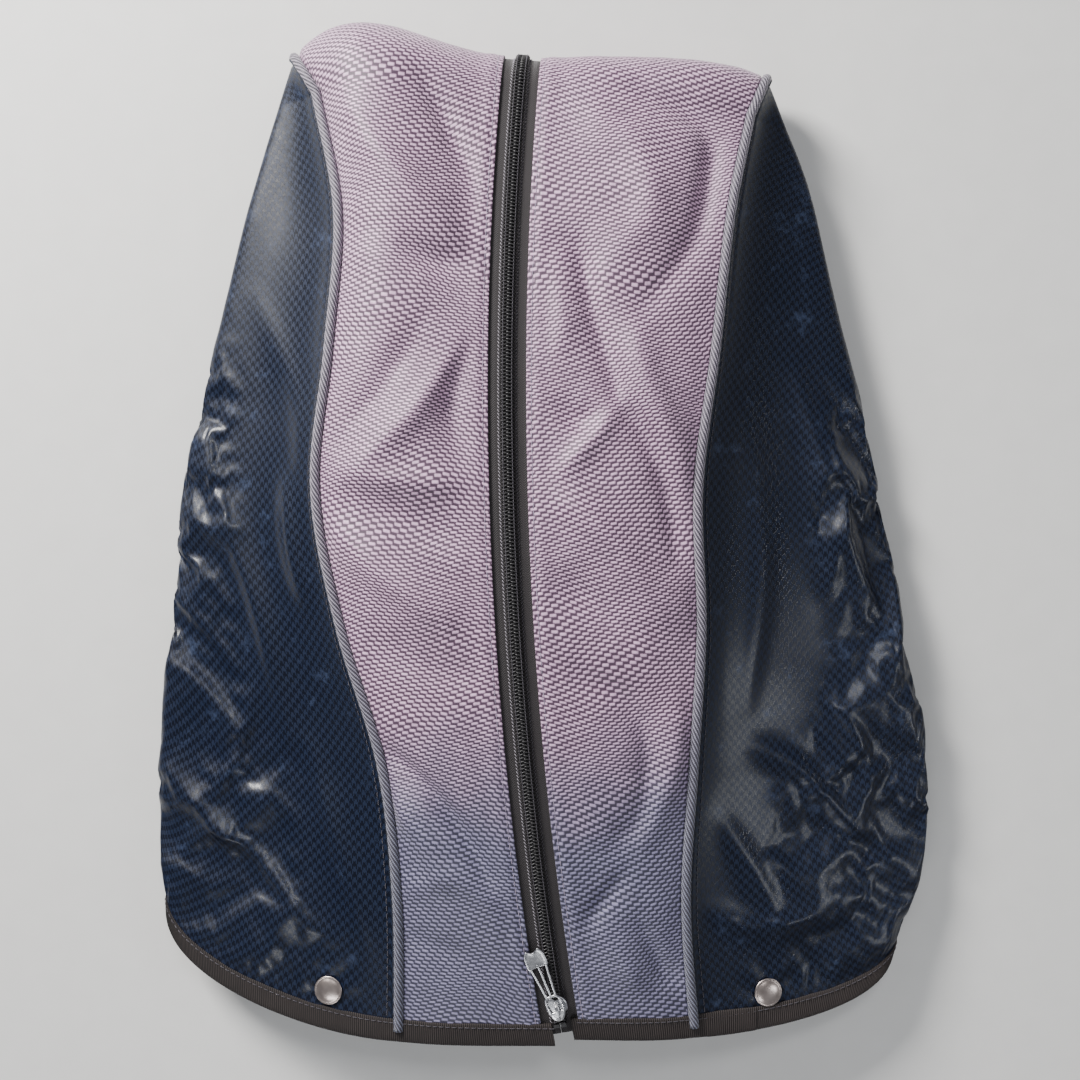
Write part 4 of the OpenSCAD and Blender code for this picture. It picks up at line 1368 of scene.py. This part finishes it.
def cast(name, parts, axes, origin, material, body, voxel, replaced):
    """Fuses overlapping parts into one smooth casting."""
    points, faces = [], []
    for part_points, part_faces in parts:
        offset = sum(len(p) for p in points)
        points.append(np.asarray(part_points, float))
        faces += [[v + offset for v in face] for face in part_faces]
    local = np.concatenate(points)
    piece = add_mesh(name, origin + local @ axes, faces, None, [material], body)
    fuse = piece.modifiers.new("fuse", "REMESH")
    fuse.mode = "VOXEL"
    fuse.voxel_size = voxel * MM
    fuse.use_smooth_shade = True
    soften = piece.modifiers.new("soften", "SMOOTH")
    soften.factor = 0.5
    soften.iterations = 3
    dg = bpy.context.evaluated_depsgraph_get()
    finished = bpy.data.meshes.new_from_object(piece.evaluated_get(dg))
    piece.modifiers.clear()
    piece.data = finished
    finished.materials.clear()
    finished.materials.append(material)
    finished.polygons.foreach_set("use_smooth", [True] * len(finished.polygons))
    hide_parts(*replaced)
    return piece


def slider_parts():
    """The slider's plates, walls and blade, and its bridge."""
    half = [(0, -6.7), (1.7, -6.4), (3.0, -5.2), (3.7, -3.4), (4.0, -1.6), (4.9, -0.4), (5.4, 1.2),
            (5.3, 3.2), (4.4, 5.2), (2.9, 6.6), (1.6, 6.2), (0.9, 5.2), (0, 4.9)]
    outline = rounded(mirrored(half), 2)
    top_levels = [(0.93, slider_floor), (1.0, slider_floor + 0.25), (1.0, slider_floor + 0.75),
                  (0.93, slider_top - 0.15), (0.8, slider_top), (0.3, slider_top + 0.08)]
    top = outline_plate(outline, top_levels)
    plate_t = 1.3
    low = -tape_room - plate_t
    under_levels = [(0.9, low), (1.0, low + 0.3), (1.0, low + 1.0), (0.94, low + plate_t)]
    under = outline_plate(outline * [0.9, 0.97], under_levels)
    parts = [top, under]
    for side in SIDES:
        corners = np.array([(side * 4.3, -1.4), (side * 5.4, -1.0), (side * 5.4, 2.2), (side * 4.3, 3.4)])
        wall = rounded(corners[::side], 2)
        parts.append(outline_plate(wall, [(1, 0.35), (1, slider_floor + 0.6)]))
    blade = rounded(np.array([(-0.2, -4), (0.2, -4), (0.2, 2), (-0.2, 2)]), 1)
    parts.append(outline_plate(blade, [(1, low + 0.9), (1, slider_floor + 0.4)]))
    rise = [(4.2, -0.4), (4.1, 0.9), (3.4, 2.1), (1.6, 2.55)]
    arch = [(0, bar_y - reach, slider_top + up) for reach, up in rise]
    arch += [(0, bar_y + reach, slider_top + up) for reach, up in rise[::-1]]
    return parts, [bridge_bar(arch)]


def bridge_bar(arch):
    """The bridge: a flat strap bent over the pull's bar."""
    arch = np.array(arch, float)
    way = unit(np.gradient(arch, axis=0))
    side_way = np.array([1.0, 0, 0])
    out = np.cross(side_way, way)
    outline = np.array([(-1.05, -0.3), (-0.8, -0.48), (0.8, -0.48), (1.05, -0.3),
                        (1.05, 0.2), (0.7, 0.45), (-0.7, 0.45), (-1.05, 0.2)])
    rings = arch[:, None] + side_way * outline[None, :, :1] + out[:, None] * outline[None, :, 1:]
    return rings.reshape(-1, 3), closed_tube_faces(len(arch), len(outline))


def slider():
    """The slider and its bridge, cast as one."""
    origin, axes = slider_axes()
    parts, bridge = slider_parts()
    cast("slider_casting", parts + bridge, axes, origin, slider_metal, "slider", 0.16,
         ["zip_slider", "slider_bridge"])


def pull():
    """The pull: a ring, three thin bars that fan out, and an arrow-shaped head with a recess."""
    origin, axes = slider_axes()
    origin = origin + axes.T @ np.array([0, bar_y, bar_up])
    lean, droop = math.radians(pull_lean), math.radians(1.5)
    tip = np.array([[1, 0, 0], [0, math.cos(droop), -math.sin(droop)], [0, math.sin(droop), math.cos(droop)]])
    spin = np.array([[math.cos(lean), math.sin(lean), 0], [-math.sin(lean), math.cos(lean), 0], [0, 0, 1]])
    turned_axes = tip @ spin @ axes
    half_ring = [(3.3, 0), (3.7, 1.2), (3.75, 4.5), (3.4, 7.4), (2.3, 8.6)]
    ring = [(-x, y, 0) for x, y in half_ring] + [(0, 9.0, 0)] + [(x, y, 0) for x, y in half_ring[::-1]]
    parts = [bar(spline(np.array(ring, float), np.linspace(0, 1, 40)), 0.68),
             bar([(-3.9, 0, 0), (-2, 0, 0), (2, 0, 0), (3.9, 0, 0)], 0.62)]
    for lane in (-1, 0, 1):
        fan = [(2.3, 8.4), (2.8, 14), (3.6, 22), (4.3, 27.5)]
        parts.append(bar([(lane * x, y, 0) for x, y in fan], 0.62))
    half = [(0, 26.2), (3.6, 25.6), (5.0, 25.4), (5.5, 27), (5.3, 31), (5.1, 33.2), (3.4, 36),
            (2.2, 35.2), (0, 33.9)]
    head = rounded(mirrored(half), 2)
    levels = [(0.93, -0.65), (1.0, -0.35), (1.0, 0.35), (0.95, 0.6), (0.86, 0.65), (0.8, 0.42), (0.4, 0.36)]
    parts.append(outline_plate(head, levels))
    cast("pull_casting", parts, turned_axes, origin, slider_metal, "pull", 0.17, ["zip_pull"])


# ---- Stitch rows along the panels ----

def panel_stitches(side):
    """The rows sewn beside the zip and beside the piping."""
    w = np.linspace(bound * 1.2, 2.9, 900)
    across = np.linalg.norm(band_skin(side, 1.0, w) - band_skin(side, 0.0, w), axis=-1)
    s = 2.6 / across
    line = band_skin(side, s, w)
    ahead = band_skin(side, s + 0.01, w) - line
    way = np.gradient(line, axis=0)
    out = side * unit(np.cross(ahead, way))
    stitch_row(f"zip_{side_name[side]}_topstitch", line, out, band_thread, 3.0, 0.9, 0.2, -0.1)
    f = np.linspace(bound * 1.2, 0.95, 700)
    reach = np.linalg.norm(side_skin(side, 0.05, f) - side_skin(side, 0.0, f), axis=-1)
    s = 0.05 * 6.2 / reach
    line = side_skin(side, s, f)
    ahead = side_skin(side, s + 0.01, f) - line
    out = side * unit(np.cross(ahead, np.gradient(line, axis=0)))
    stitch_row(f"{side_name[side]}_seam_topstitch", line, out, dark_thread, 3.0, 0.9, 0.2, 0.25)


for side in SIDES:
    band_panel(side)
    side_panel(side)
    snap_cap(side)
    piping(side)
    seam_tape(side)
    tape(side)
    coil(side)
    coil_threads(side)
    panel_stitches(side)
back_panel()
crown_tape()
hem_ribbon()
edge_threads()
slider()
pull()

# CAD solids that stay in view, each with its own material.
kept = {
    "left_piping_cord": cord_cotton, "right_piping_cord": cord_cotton, "zip_start_stop": slider_metal,
    "zip_end_stops": coil_nylon, "left_snap_socket": cap_metal, "right_snap_socket": cap_metal,
}
for node_name, material in kept.items():
    nodes[node_name].data.materials.clear()
    nodes[node_name].data.materials.append(material)
